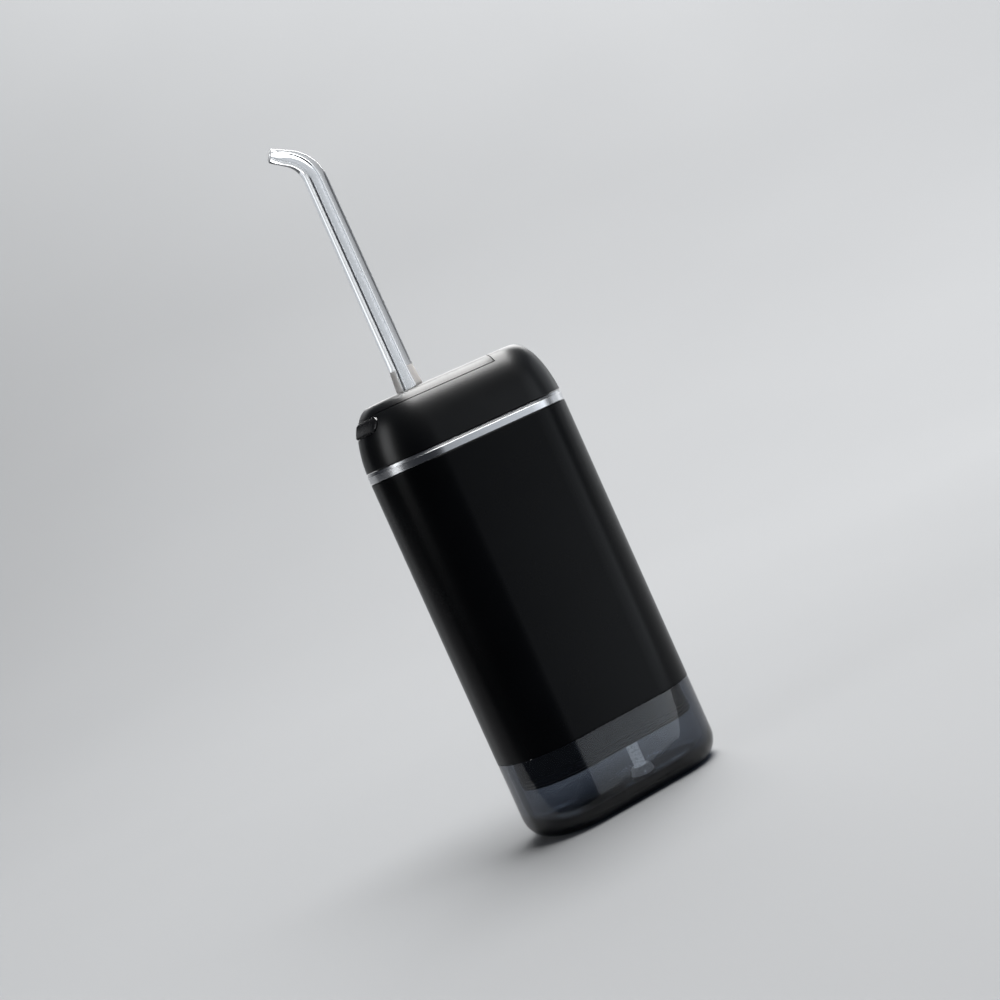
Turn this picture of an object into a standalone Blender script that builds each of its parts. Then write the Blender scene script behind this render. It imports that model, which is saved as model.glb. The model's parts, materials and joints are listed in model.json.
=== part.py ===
"""Collapsible pocket water flosser, standing on its flat base, fully collapsed
with the jet nozzle fitted.

Frame: origin at the centre of the flat underside, +Z up through the body,
+X from the nozzle side to the plain side, -Y the plain wide face, +Y the face
that carries the power button, the charging port and the filling plug.
All dimensions are millimetres; meshes and origins are scaled to metres as they are made.
"""
import math

import bmesh
import bpy
from mathutils import Matrix, Vector

MM = 0.001
SHARP_ANGLE = math.radians(32)
WELD = 0.004                       # vertices closer than this merge after a boolean

# ---- body ------------------------------------------------------------------
BODY_W, BODY_D, BODY_R, BODY_H = 60.0, 34.0, 16.0, 128.0
PLAN_SEG = 6                       # segments in each rounded plan corner
GAP = 0.3                          # running clearance between pieces
JOINT = 0.2                        # gap between the stacked outer pieces

# ---- tank, sleeve and ring --------------------------------------------------
CLEAR_TOP = 23.8                   # top of the bare clear section
FOOT_IN, FOOT_UP, FOOT_SEG = 6.0, 7.0, 4       # rounding of the foot
TANK_FLOOR = 3.0
TANK_WALL_IN = 2.6                 # inset of the tank's inside wall
BOWL_IN, BOWL_TOP, BOWL_SEG = 5.0, 8.5, 3      # rounding inside the tank floor
TANK_STEP = 1.3                    # the tank steps in under the sleeve
TANK_TOP = 106.0
SLEEVE_Z0, SLEEVE_Z1, SLEEVE_T = CLEAR_TOP + JOINT, 108.2, 1.0
RING_Z0, RING_Z1 = SLEEVE_Z1 + JOINT, 111.2
RING_CHAMFER, RING_LEAN = 0.48, 0.90           # inward and downward legs of the top chamfer

# ---- filling plug: half sizes along X and Z ---------------------------------
PLUG_HALF, PLUG_Z = (8.0, 5.3), 13.6
CORE_HALF, CORE_Z = (4.2, 3.2), 12.6
CORE_FIT = 0.4                     # clearance round the plug core

# ---- pump module ------------------------------------------------------------
CASE_OUT, CASE_WALL = 3.1, 1.5     # casing wall: outside inset and thickness
CASE_IN = CASE_OUT + CASE_WALL
CASE_Z0, CASE_Z1 = 17.6, 112.6
FLANGE_OUT, FLANGE_IN = 2.3, 7.4   # insets of the casing's top flange
LEDGE_IN = CASE_IN + 1.0           # inside ledge below the drive frame
MODULE_Z0 = 14.9
HEAD_Z0, HEAD_WALL = RING_Z1 + JOINT, 2.0
SHOULDER_IN, SHOULDER_UP = 8.0, 19.0
SEAM_Z = 125.4                     # underside line of the top cover
SEAM_X = 11.5                      # cross seam of the top cover
POSTS = ((17.0, 10.3), (-17.0, 10.3), (-17.0, -10.3), (17.0, -10.3))   # head screw posts
POST_R, WEB_HALF, WEB_REACH = 1.9, 0.9, 4.6
CASE_SCREW_HOLE_R = 1.1

# ---- controls on the head ---------------------------------------------------
THUMB_HALF_W, THUMB_HALF_H, THUMB_Z = 8.2, 2.0, 122.9
THUMB_END_SEG = 3                  # stations in each rounded end
THUMB_MIN_HALF_H = 0.35
THUMB_RIBS, RIB_DEPTH = 12, 0.35
CONTROL_Z = 116.0                  # centre height of button and lamp guide
BUTTON_X, BUTTON_HALF = -6.0, (5.0, 2.6)
LIGHT_X, LIGHT_R = 1.6, 1.0
PORT_X = 10.2
FLAP_X0, FLAP_X1, FLAP_Z0, FLAP_Z1 = 4.3, 16.1, 114.4, 119.6

# ---- nozzle -----------------------------------------------------------------
NOZ_X = -9.4
NOZ_Z0 = 113.2
NOZ_R0, NOZ_R1, NOZ_FLARE = 3.37, 3.2, 3.85
NOZ_BORE = 1.15
NOZ_STRAIGHT = 190.5
NOZ_BEND_R, NOZ_BEND_DEG, NOZ_BEND_SEG = 9.0, 63.0, 7
NOZ_END = 5.2                      # straight tip beyond the bend
NOZ_SEG = 20
INLET_Z = 113.25                   # axis of the pressure tube where it meets the socket

# ---- pump and drive ---------------------------------------------------------
GEAR_MODULE, GEAR_TEETH, PINION_TEETH = 0.5, 30, 10
GEAR_X = 5.6
MOTOR_X = GEAR_X + GEAR_MODULE * (GEAR_TEETH + PINION_TEETH) / 2
GEAR_Z0 = 90.4                     # underside of both gears
MOTOR_R, MOTOR_TOP, MOTOR_FLAT = 9.5, 86.6, 6.8
MOTOR_SCREW_Y = 6.0
FRAME_IN, FRAME_Z0, FRAME_Z1 = CASE_IN + GAP, 87.3, 88.9
CELL_X, CELL_R = -14.0, 9.15
CRANK_THROW = 2.0
CRANK_X = GEAR_X - CRANK_THROW
ROD_LEN = 14.0
WRIST_X = CRANK_X - ROD_LEN
ROD_HALF_T = 0.95
PUMP_Z = 97.0
TUBE_X, TUBE_Y = 4.4, -6.0         # pickup tube
VALVE_X = -20.9
HOSE_R, HOSE_BORE = 1.5, 0.8
SUCTION_HOSE_Z = 80.4


# ============================================================================
#  outlines and paths
# ============================================================================
def rounded_outline(half_w, half_h, radius, cx=0.0, cy=0.0, seg=5):
    """Closed rounded rectangle, counter-clockwise, without coincident points."""
    points = []
    for sx, sy, start in ((1, 1, 0), (-1, 1, 90), (-1, -1, 180), (1, -1, 270)):
        for i in range(seg + 1):
            angle = math.radians(start + 90.0 * i / seg)
            x = cx + sx * (half_w - radius) + radius * math.cos(angle)
            y = cy + sy * (half_h - radius) + radius * math.sin(angle)
            if not points or abs(x - points[-1][0]) + abs(y - points[-1][1]) > 1e-6:
                points.append((x, y))
    (x0, y0), (x1, y1) = points[0], points[-1]
    if abs(x0 - x1) + abs(y0 - y1) < 1e-6:
        points.pop()
    return points


def stadium(half_w, half_h, cx=0.0, cy=0.0, seg=5):
    """Rounded-end slot outline."""
    return rounded_outline(half_w, half_h, min(half_w, half_h), cx, cy, seg)


def circle(radius, z, n, cx=0.0, cy=0.0):
    return [(cx + radius * math.cos(2 * math.pi * i / n),
             cy + radius * math.sin(2 * math.pi * i / n), z) for i in range(n)]


def arc(cx, radius, start, span, seg):
    """Points of an arc about (cx, 0); start and span in degrees."""
    angles = [math.radians(start + span * k / seg) for k in range(seg + 1)]
    return [(cx + radius * math.cos(a), radius * math.sin(a)) for a in angles]


def gear_outline(teeth, cx, phase=0.0, backlash=0.06):
    """Straight-flanked stand-in for an involute spur gear."""
    pitch_r = GEAR_MODULE * teeth / 2
    tip_r, root_r = pitch_r + GEAR_MODULE * 0.9, pitch_r - GEAR_MODULE * 1.15
    pitch = 2 * math.pi / teeth
    # corners of one tooth: share of the pitch from its centre, radius
    corners = ((-0.30, root_r), (-0.115, tip_r), (0.115, tip_r), (0.30, root_r))
    points = []
    for k in range(teeth):
        for share, radius in corners:
            shrink = math.copysign(backlash / pitch_r, share)
            angle = phase + k * pitch + share * pitch - shrink
            points.append((cx + radius * math.cos(angle), radius * math.sin(angle)))
    return points


def sweep(path, radii, n):
    """Loops of a round section, one radius per point, carried along a path."""
    points = [Vector(p) for p in path]
    loops = []
    normal = None
    for i, (point, radius) in enumerate(zip(points, radii)):
        tangent = (points[min(i + 1, len(points) - 1)] - points[max(i - 1, 0)]).normalized()
        if normal is None:
            normal = Vector((0, 1, 0)).cross(tangent)
        normal = (normal - tangent * normal.dot(tangent)).normalized()
        side = tangent.cross(normal)
        loops.append([tuple(point + normal * (radius * math.cos(2 * math.pi * k / n))
                            + side * (radius * math.sin(2 * math.pi * k / n)))
                      for k in range(n)])
    return loops


def elbow_path(start, corner, end, radius, seg=4):
    """Two straight legs joined by an arc in place of the corner."""
    corner_point = Vector(corner)
    leg_a = (Vector(start) - corner_point).normalized()
    leg_b = (Vector(end) - corner_point).normalized()
    half = leg_a.angle(leg_b) / 2
    setback = radius / math.tan(half)
    centre = corner_point + (leg_a + leg_b).normalized() * (radius / math.sin(half))
    spoke_a = corner_point + leg_a * setback - centre
    spoke_b = corner_point + leg_b * setback - centre
    turn = spoke_a.angle(spoke_b)
    bend = []
    for k in range(seg + 1):
        mix = spoke_a * math.sin(turn * (1 - k / seg)) + spoke_b * math.sin(turn * k / seg)
        bend.append(tuple(centre + mix / math.sin(turn)))
    return [start] + bend + [end]


# ============================================================================
#  solids
# ============================================================================
def clear_objects():
    for ob in list(bpy.data.objects):
        bpy.data.objects.remove(ob, do_unlink=True)


def shade(mesh):
    mesh.shade_smooth()
    mesh.set_sharp_from_angle(angle=SHARP_ANGLE)


def finish(name, bm, mat, origin=None):
    """Turn a bmesh in metres into a linked object; origin is in millimetres."""
    bmesh.ops.recalc_face_normals(bm, faces=bm.faces[:])
    mesh = bpy.data.meshes.new(name)
    bm.to_mesh(mesh)
    bm.free()
    ob = bpy.data.objects.new(name, mesh)
    bpy.context.scene.collection.objects.link(ob)
    if origin is not None:
        place = Vector(origin) * MM
        mesh.transform(Matrix.Translation(-place))
        ob.location = place
    mesh.materials.append(mat)
    shade(mesh)
    return ob


def skin(name, loops, mat, closed=False, matrix=None, origin=None):
    """Skin a stack of equal loops. closed joins the last loop to the first
    (a ring-like solid); otherwise both ends are capped."""
    bm = bmesh.new()
    rows = [[bm.verts.new((x * MM, y * MM, z * MM)) for x, y, z in loop] for loop in loops]
    n = len(rows[0])
    pairs = list(zip(rows, rows[1:]))
    if closed:
        pairs.append((rows[-1], rows[0]))
    for low, high in pairs:
        for i in range(n):
            j = (i + 1) % n
            bm.faces.new((low[i], low[j], high[j], high[i]))
    if not closed:
        bm.faces.new(list(reversed(rows[0])))
        bm.faces.new(rows[-1])
    if matrix is not None:
        scaled = matrix.copy()
        scaled.translation = scaled.translation * MM
        bmesh.ops.transform(bm, matrix=scaled, verts=bm.verts[:])
    return finish(name, bm, mat, origin=origin)


def plan_solid(name, profile, mat, closed=False):
    """Stack body outlines; the profile's columns are inset, z."""
    loops = []
    for inset, z in profile:
        outline = rounded_outline(BODY_W / 2 - inset, BODY_D / 2 - inset, BODY_R - inset,
                                  seg=PLAN_SEG)
        loops.append([(x, y, z) for x, y in outline])
    return skin(name, loops, mat, closed)


def lathe(name, profile, mat, n=16, cx=0.0, cy=0.0, closed=False, matrix=None, origin=None):
    """Turn a profile about a Z axis at cx, cy; its columns are radius, z."""
    loops = [circle(radius, z, n, cx, cy) for radius, z in profile]
    return skin(name, loops, mat, closed, matrix, origin)


def along_x(z):
    """Lay a lathed solid along +X at height z."""
    return Matrix.Translation((0, 0, z)) @ Matrix.Rotation(math.radians(90), 4, 'Y')


def along_y(x, z):
    """Lay a lathed solid along +Y through (x, z)."""
    return Matrix.Translation((x, 0, z)) @ Matrix.Rotation(math.radians(-90), 4, 'X')


def box(name, low, high, mat, origin=None):
    bm = bmesh.new()
    bmesh.ops.create_cube(bm, size=1.0)
    low, high = Vector(low) * MM, Vector(high) * MM
    for v in bm.verts:
        v.co = Vector([low[i] + (v.co[i] + 0.5) * (high[i] - low[i]) for i in range(3)])
    return finish(name, bm, mat, origin=origin)


def prism(name, outline, z0, z1, mat, origin=None):
    """Extrude an XY outline along Z."""
    return skin(name, [[(x, y, z) for x, y in outline] for z in (z0, z1)], mat, origin=origin)


def slot_bar(name, half, centre, y_span, mat, seg=5, origin=None):
    """Rounded-end bar along Y; half and centre are (x, z)."""
    outline = stadium(*half, *centre, seg=seg)
    return skin(name, [[(x, y, z) for x, z in outline] for y in y_span], mat, origin=origin)


def hose(name, path, mat, n=10):
    outer = sweep(path, [HOSE_R] * len(path), n)
    inner = sweep(path, [HOSE_BORE] * len(path), n)
    return skin(name, outer + inner[::-1], mat, closed=True)


def combine(ob, tool, operation):
    """Boolean one solid with another, drop the tool and weld the result."""
    modifier = ob.modifiers.new("carve", 'BOOLEAN')
    modifier.operation = operation
    modifier.solver = 'EXACT'
    modifier.object = tool
    bpy.context.view_layer.update()
    depsgraph = bpy.context.evaluated_depsgraph_get()
    mesh = bpy.data.meshes.new_from_object(ob.evaluated_get(depsgraph))
    ob.modifiers.clear()
    old = ob.data
    mesh.name = old.name
    ob.data = mesh
    bpy.data.meshes.remove(old)
    bpy.data.objects.remove(tool, do_unlink=True)
    bm = bmesh.new()
    bm.from_mesh(mesh)
    bmesh.ops.remove_doubles(bm, verts=bm.verts[:], dist=WELD * MM)
    bmesh.ops.dissolve_degenerate(bm, edges=bm.edges[:], dist=WELD * MM)
    bm.to_mesh(mesh)
    bm.free()
    shade(mesh)


def cut(ob, tool):
    combine(ob, tool, 'DIFFERENCE')


def fuse(ob, tool):
    combine(ob, tool, 'UNION')


def bore(ob, radius, z0, z1, n=10, cx=0.0, cy=0.0, matrix=None):
    """Cut a round hole, placed as a lathed solid is."""
    cut(ob, lathe("bore", [(radius, z0), (radius, z1)], ob.data.materials[0], n, cx, cy,
                  matrix=matrix))


# ============================================================================
#  materials
# ============================================================================
def material(name, colour, roughness, metallic=0.0, alpha=1.0, transmission=0.0):
    mat = bpy.data.materials.get(name) or bpy.data.materials.new(name)
    mat.use_nodes = True
    inputs = mat.node_tree.nodes["Principled BSDF"].inputs
    inputs["Base Color"].default_value = (*colour, 1.0)
    inputs["Roughness"].default_value = roughness
    inputs["Metallic"].default_value = metallic
    inputs["Transmission Weight"].default_value = transmission
    inputs["Alpha"].default_value = alpha
    mat.diffuse_color = (*colour, alpha)
    return mat


def make_materials():
    return {
        'black': material('satin_black', colour=(0.012, 0.012, 0.013), roughness=0.36),
        'deep': material('inner_black', colour=(0.010, 0.010, 0.011), roughness=0.42),
        'clear': material('clear_smoke', colour=(0.62, 0.63, 0.66), roughness=0.06,
                          alpha=0.45, transmission=0.9),
        'jet': material('clear_nozzle', colour=(0.80, 0.84, 0.90), roughness=0.05,
                        alpha=0.5, transmission=0.9),
        'satin_metal': material('satin_metal', colour=(0.56, 0.57, 0.59), roughness=0.24,
                                metallic=1.0),
        'rubber': material('black_rubber', colour=(0.020, 0.020, 0.021), roughness=0.70),
        'grey': material('grey_nylon', colour=(0.22, 0.23, 0.24), roughness=0.50),
        'white': material('white_acetal', colour=(0.78, 0.77, 0.74), roughness=0.45),
        'steel': material('bright_steel', colour=(0.60, 0.60, 0.61), roughness=0.22,
                          metallic=1.0),
        'board': material('green_board', colour=(0.010, 0.090, 0.035), roughness=0.40),
        'cell': material('cell_wrap', colour=(0.035, 0.120, 0.300), roughness=0.40),
        'brass': material('plain_brass', colour=(0.70, 0.50, 0.20), roughness=0.28,
                          metallic=1.0),
        'silicone': material('clear_silicone', colour=(0.70, 0.72, 0.72), roughness=0.35,
                             alpha=0.8),
        'diffuser': material('light_diffuser', colour=(0.85, 0.88, 0.92), roughness=0.30),
    }


# ============================================================================
#  head outer form
# ============================================================================
def shoulder_inset(z):
    """Inset of the rounded shoulder at height z."""
    drop = BODY_H - z
    if drop >= SHOULDER_UP:
        return 0.0
    rise = 1.0 - drop / SHOULDER_UP
    return SHOULDER_IN * (1.0 - math.sqrt(max(0.0, 1.0 - rise * rise)))


def head_profile(inset, z0, z1, lift=0.0):
    """Inset, z stations of the head; lift reads the shoulder that much higher."""
    stations = (114.0, 117.0, 119.5, 121.5, 123.2, 124.6, 125.7, 126.6, 127.2, 127.6)
    heights = [z0] + [z for z in stations if z0 + 0.25 < z < z1 - 0.25] + [z1]
    return [(inset + shoulder_inset(min(z + lift, BODY_H)), z) for z in heights]


def end_curve(y, inset):
    """x of the rounded -X end at the given y."""
    half_w, half_d, radius = BODY_W / 2 - inset, BODY_D / 2 - inset, BODY_R - inset
    dy = max(0.0, abs(y) - (half_d - radius))
    return -(half_w - radius) - math.sqrt(max(0.0, radius * radius - dy * dy))


def thumb_bar(name, half_w, half_h, proud, x_in, mat, ribs=0):
    """Curved bar that follows the rounded -X end of the head."""
    core = half_w - half_h             # half length of the straight middle
    low = proud - RIB_DEPTH if ribs else proud
    ends = []                          # distance past the middle, half height
    for i in range(THUMB_END_SEG):
        angle = math.radians(90.0 * i / THUMB_END_SEG)
        ends.append((half_h * math.cos(angle), half_h * math.sin(angle)))
    # stations: y, half height, how far the face stands proud
    stations = [(-core - out, height, low) for out, height in ends]
    if ribs:
        pitch = 2 * core / ribs
        for k in range(ribs):
            y = -core + k * pitch
            stations += [(y, half_h, low), (y + 0.25 * pitch, half_h, proud),
                         (y + 0.65 * pitch, half_h, proud)]
        stations.append((core, half_h, low))
    else:
        stations += [(-core + 2 * core * k / 8, half_h, proud) for k in range(9)]
    stations += [(core + out, height, low) for out, height in reversed(ends)]

    loops = []
    for y, height, stand in stations:
        height = max(height, THUMB_MIN_HALF_H)
        # the outer face leans with the shoulder behind it
        face = [(end_curve(y, shoulder_inset(z)) - stand, y, z)
                for z in (THUMB_Z - height, THUMB_Z, THUMB_Z + height)]
        loops.append(face + [(x_in, y, THUMB_Z + height), (x_in, y, THUMB_Z - height)])
    return skin(name, loops, mat)


# ============================================================================
#  tank, sleeve and filling plug
# ============================================================================
def build_tank(mats):
    """Open-topped clear tank with the filling hole and plug seat in its +Y face."""
    profile = []
    for k in range(FOOT_SEG + 1):
        angle = math.radians(90.0 * k / FOOT_SEG)
        profile.append((FOOT_IN * (1 - math.sin(angle)), FOOT_UP * (1 - math.cos(angle))))
    profile += [(0.0, CLEAR_TOP), (TANK_STEP, CLEAR_TOP), (TANK_STEP, TANK_TOP),
                (TANK_WALL_IN, TANK_TOP), (TANK_WALL_IN, BOWL_TOP)]
    for k in range(1, BOWL_SEG + 1):
        angle = math.radians(90.0 * k / BOWL_SEG)
        profile.append((TANK_WALL_IN + BOWL_IN * (1 - math.cos(angle)),
                        BOWL_TOP - (BOWL_TOP - TANK_FLOOR) * math.sin(angle)))
    clear = mats['clear']
    tank = plan_solid("tank_shell", profile, clear)
    hole_half = [size + CORE_FIT for size in CORE_HALF]
    seat_half = [size + GAP for size in PLUG_HALF]
    cut(tank, slot_bar("hole", hole_half, (0.0, CORE_Z), (12.0, 19.0), clear, seg=4))
    cut(tank, slot_bar("seat", seat_half, (0.0, PLUG_Z), (15.7, 19.0), clear))


def build_sleeve(mats):
    """Outer sleeve, the metal ring above it and the seal at the tank mouth."""
    plan_solid("outer_sleeve", [(0.0, SLEEVE_Z0), (0.0, SLEEVE_Z1),
                                (SLEEVE_T, SLEEVE_Z1), (SLEEVE_T, SLEEVE_Z0)],
               mats['black'], closed=True)
    plan_solid("collar_ring", [(0.0, RING_Z0), (0.0, RING_Z1 - RING_LEAN),
                               (RING_CHAMFER, RING_Z1), (TANK_WALL_IN, RING_Z1),
                               (TANK_WALL_IN, RING_Z0)], mats['satin_metal'], closed=True)
    plan_solid("mouth_seal", [(1.3, 106.3), (1.3, 108.1), (2.5, 108.1), (2.85, 107.5),
                              (2.5, 107.0), (2.5, 106.3)], mats['rubber'], closed=True)


def build_pickup(mats):
    """Pickup tube standing in a filter foot above the tank floor."""
    lathe("pickup_tube", [(1.7, 5.3), (1.7, 84.0), (1.1, 84.0), (1.1, 5.3)],
          mats['silicone'], n=12, cx=TUBE_X, cy=TUBE_Y, closed=True)
    lathe("pickup_filter", [(3.4, 3.3), (3.4, 4.4), (2.9, 7.0), (2.0, 7.0), (2.0, 5.0),
                            (1.0, 5.0), (1.0, 3.3)],
          mats['white'], n=12, cx=TUBE_X, cy=TUBE_Y, closed=True)


def build_fill_plug(mats):
    """Plug with an inner core and a notch across its upper edge."""
    rubber = mats['rubber']
    plug = slot_bar("fill_plug", PLUG_HALF, (0.0, PLUG_Z), (16.0, 17.0), rubber)
    fuse(plug, slot_bar("core", CORE_HALF, (0.0, CORE_Z), (14.0, 16.4), rubber, seg=4))
    cut(plug, slot_bar("notch", (2.6, 0.7), (0.0, 17.4), (16.45, 18.0), rubber, seg=3))


# ============================================================================
#  casing
# ============================================================================
def build_casing(mats):
    """Casing wall with its drilled top flange and the inside ledge."""
    case = plan_solid("inner_casing", [
        (CASE_OUT, CASE_Z0), (CASE_OUT, 111.6), (FLANGE_OUT, 111.7), (FLANGE_OUT, CASE_Z1),
        (FLANGE_IN, CASE_Z1), (FLANGE_IN, 111.6), (CASE_IN, 111.6), (CASE_IN, 87.2),
        (LEDGE_IN, 87.0), (LEDGE_IN, 85.8), (CASE_IN, 84.6), (CASE_IN, CASE_Z0),
    ], mats['deep'], closed=True)
    for x, y in POSTS:
        bore(case, CASE_SCREW_HOLE_R, 110.0, 114.0, cx=x, cy=y)


def build_casing_floor(mats):
    """Casing floor, its seals and the pipe over the pickup tube."""
    floor = plan_solid("casing_floor", [
        (3.6, MODULE_Z0), (3.1, MODULE_Z0 + 0.5), (3.1, 15.6), (5.0, 15.6),
        (5.0, 17.0), (4.9, 17.4), (4.9, 20.2)], mats['deep'])
    bore(floor, 2.05, 10.0, 30.0, n=12, cx=TUBE_X, cy=TUBE_Y)
    bore(floor, 4.4, 16.9, 30.0, n=12, cx=TUBE_X, cy=TUBE_Y)
    plan_solid("piston_seal", [(2.8, 15.9), (2.8, 16.4), (3.2, 16.6), (2.8, 16.8),
                               (2.8, 17.3), (4.7, 17.3), (4.7, 15.9)],
               mats['rubber'], closed=True)
    lathe("gland_seal", [(4.1, 17.2), (4.1, 19.6), (2.5, 19.6), (1.95, 18.4), (2.5, 17.2)],
          mats['rubber'], n=12, cx=TUBE_X, cy=TUBE_Y, closed=True)
    lathe("suction_pipe", [(3.2, 20.0), (3.2, 22.0), (2.6, 22.4), (2.6, 86.2),
                           (0.6, 86.2), (0.6, 85.2), (2.0, 85.0), (2.0, 20.0)],
          mats['white'], n=12, cx=TUBE_X, cy=TUBE_Y, closed=True)


# ============================================================================
#  head
# ============================================================================
def add_screw_post(head, x, y, mat):
    """Drilled post joined to the nearer wide wall by a web."""
    y0, y1 = sorted((y, y + math.copysign(WEB_REACH, y)))
    web = box("web", (x - WEB_HALF, y0, 113.0), (x + WEB_HALF, y1, 118.0), mat)
    fuse(web, lathe("post", [(POST_R, 112.95), (POST_R, 118.05)], mat, n=10, cx=x, cy=y))
    fuse(head, web)
    bore(head, 1.1, 112.5, 117.0, cx=x, cy=y)


def build_head_shell(mats):
    black = mats['black']
    head = plan_solid("head_shell", head_profile(0.0, HEAD_Z0, BODY_H), black)
    cut(head, plan_solid("hollow", head_profile(HEAD_WALL, HEAD_Z0 - 1.0, BODY_H - HEAD_WALL,
                                                lift=HEAD_WALL * 0.6), black))
    cut(head, box("cover_bay", (-40, -30, SEAM_Z), (SEAM_X, 30, 140), black))
    cut(head, thumb_bar("thumb_slot", THUMB_HALF_W + GAP, THUMB_HALF_H + GAP,
                        proud=4.0, x_in=-21.5, mat=black))
    button_hole = [size + GAP for size in BUTTON_HALF]
    cut(head, slot_bar("button_hole", button_hole, (BUTTON_X, CONTROL_Z), (8.0, 22.0), black))
    bore(head, LIGHT_R + GAP, 8.0, 22.0, n=12, matrix=along_y(LIGHT_X, CONTROL_Z))
    cut(head, slot_bar("port_hole", (4.7, 2.1), (PORT_X, 117.3), (8.0, 22.0), black, seg=4))
    cut(head, box("flap_seat", (FLAP_X0 - GAP, 15.0, FLAP_Z0 - GAP),
                  (FLAP_X1 + GAP, 22.0, FLAP_Z1 + GAP), black))
    for x, y in POSTS:
        add_screw_post(head, x, y, black)


def build_top_cover(mats):
    """Cover over the -X part of the head, with the nozzle hole."""
    black = mats['black']
    cover = plan_solid("top_cover", head_profile(0.0, SEAM_Z + GAP / 2, BODY_H), black)
    cut(cover, box("side", (SEAM_X - GAP / 2, -30, 120), (40, 30, 140), black))
    bore(cover, 4.0, 120.0, 140.0, n=24, cx=NOZ_X)


def build_casing_screws(mats):
    for letter, (x, y) in zip("abcd", POSTS):
        lathe("casing_screw_" + letter, [(1.4, 110.3), (1.4, 111.3), (0.8, 111.3), (0.8, 116.4)],
              mats['steel'], n=10, cx=x, cy=y)


# ============================================================================
#  drive
# ============================================================================
def build_drive_frame(mats):
    """Plate across the casing, with two saddle posts for the pump cylinder."""
    grey = mats['grey']
    frame = plan_solid("drive_frame", [(FRAME_IN, FRAME_Z0), (FRAME_IN, FRAME_Z1)], grey)
    bore(frame, 2.6, 80.0, 95.0, n=12, cx=MOTOR_X)
    bore(frame, 2.0, 80.0, 95.0, n=12, cx=VALVE_X)
    for side in (1, -1):
        bore(frame, 1.1, 80.0, 95.0, cx=MOTOR_X, cy=MOTOR_SCREW_Y * side)
        saddle_y = 3.2 * side
        fuse(frame, box("saddle", (-18.2, saddle_y - 0.9, 88.4),
                        (-14.2, saddle_y + 0.9, 93.4), grey))
    bore(frame, 1.12, 80.0, 95.0, n=12, cx=GEAR_X)


def build_motor(mats):
    """Motor can with flats facing +X and -X, its two screws and its shaft."""
    steel = mats['steel']
    can = lathe("motor_can", [(9.0, 58.0), (MOTOR_R, 58.5), (MOTOR_R, 86.0), (9.0, MOTOR_TOP)],
                steel, n=24, cx=MOTOR_X)
    cut(can, box("flat", (MOTOR_X + MOTOR_FLAT, -20, 50), (MOTOR_X + 20, 20, 95), steel))
    cut(can, box("flat", (MOTOR_X - 20, -20, 50), (MOTOR_X - MOTOR_FLAT, 20, 95), steel))
    bore(can, 1.35, 79.0, 95.0, n=12, cx=MOTOR_X)
    for screw_y, letter in ((MOTOR_SCREW_Y, "a"), (-MOTOR_SCREW_Y, "b")):
        bore(can, 1.05, 83.0, 95.0, cx=MOTOR_X, cy=screw_y)
        lathe("motor_screw_" + letter, [(0.75, 83.6), (0.75, 89.2), (1.5, 89.2), (1.5, 90.0)],
              steel, n=10, cx=MOTOR_X, cy=screw_y)
    lathe("motor_shaft", [(1.0, 79.6), (1.0, 93.6)], steel, n=12, cx=MOTOR_X,
          origin=(MOTOR_X, 0, MOTOR_TOP))


def build_gears(mats):
    """Pinion on the motor shaft, drive gear with its crank pin, and the axle."""
    pinion = prism("motor_pinion",
                   gear_outline(PINION_TEETH, MOTOR_X, phase=math.pi / PINION_TEETH),
                   GEAR_Z0, 93.2, mats['brass'], origin=(MOTOR_X, 0, GEAR_Z0))
    bore(pinion, 1.15, 80.0, 99.0, n=12, cx=MOTOR_X)
    gear = prism("drive_gear", gear_outline(GEAR_TEETH, GEAR_X), GEAR_Z0, 92.8,
                 mats['white'], origin=(GEAR_X, 0, GEAR_Z0))
    bore(gear, 1.25, 80.0, 99.0, n=12, cx=GEAR_X)
    fuse(gear, lathe("crank_pin", [(0.55, 92.0), (0.55, 95.5)], mats['white'], n=10,
                     cx=CRANK_X))
    lathe("gear_axle", [(1.0, 86.8), (1.0, 92.9)], mats['steel'], n=12, cx=GEAR_X)


def build_battery(mats):
    lathe("battery_cell", [(8.2, 21.4), (CELL_R, 22.0), (CELL_R, 70.6), (8.4, 71.0),
                           (3.0, 71.0), (3.0, 71.8)], mats['cell'], n=24, cx=CELL_X)


# ============================================================================
#  pump
# ============================================================================
def build_valve_block(mats):
    """Block at the -X end of the cylinder, with its two valve balls."""
    block = box("valve_block", (-24.2, -3.6, 91.8), (-18.8, 3.6, 102.2), mats['grey'])
    bore(block, 2.2, -23.0, -17.0, n=12, matrix=along_x(PUMP_Z))
    bore(block, 1.5, 94.3, 99.7, cx=VALVE_X)
    bore(block, 0.8, 91.0, 103.0, cx=VALVE_X)
    for name, z in (("inlet_valve_ball", 95.5), ("outlet_valve_ball", 98.2)):
        centre = (VALVE_X, 0, z)
        bm = bmesh.new()
        bmesh.ops.create_uvsphere(bm, u_segments=10, v_segments=6, radius=1.0 * MM,
                                  matrix=Matrix.Translation(Vector(centre) * MM))
        finish(name, bm, mats['steel'], origin=centre)


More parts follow.
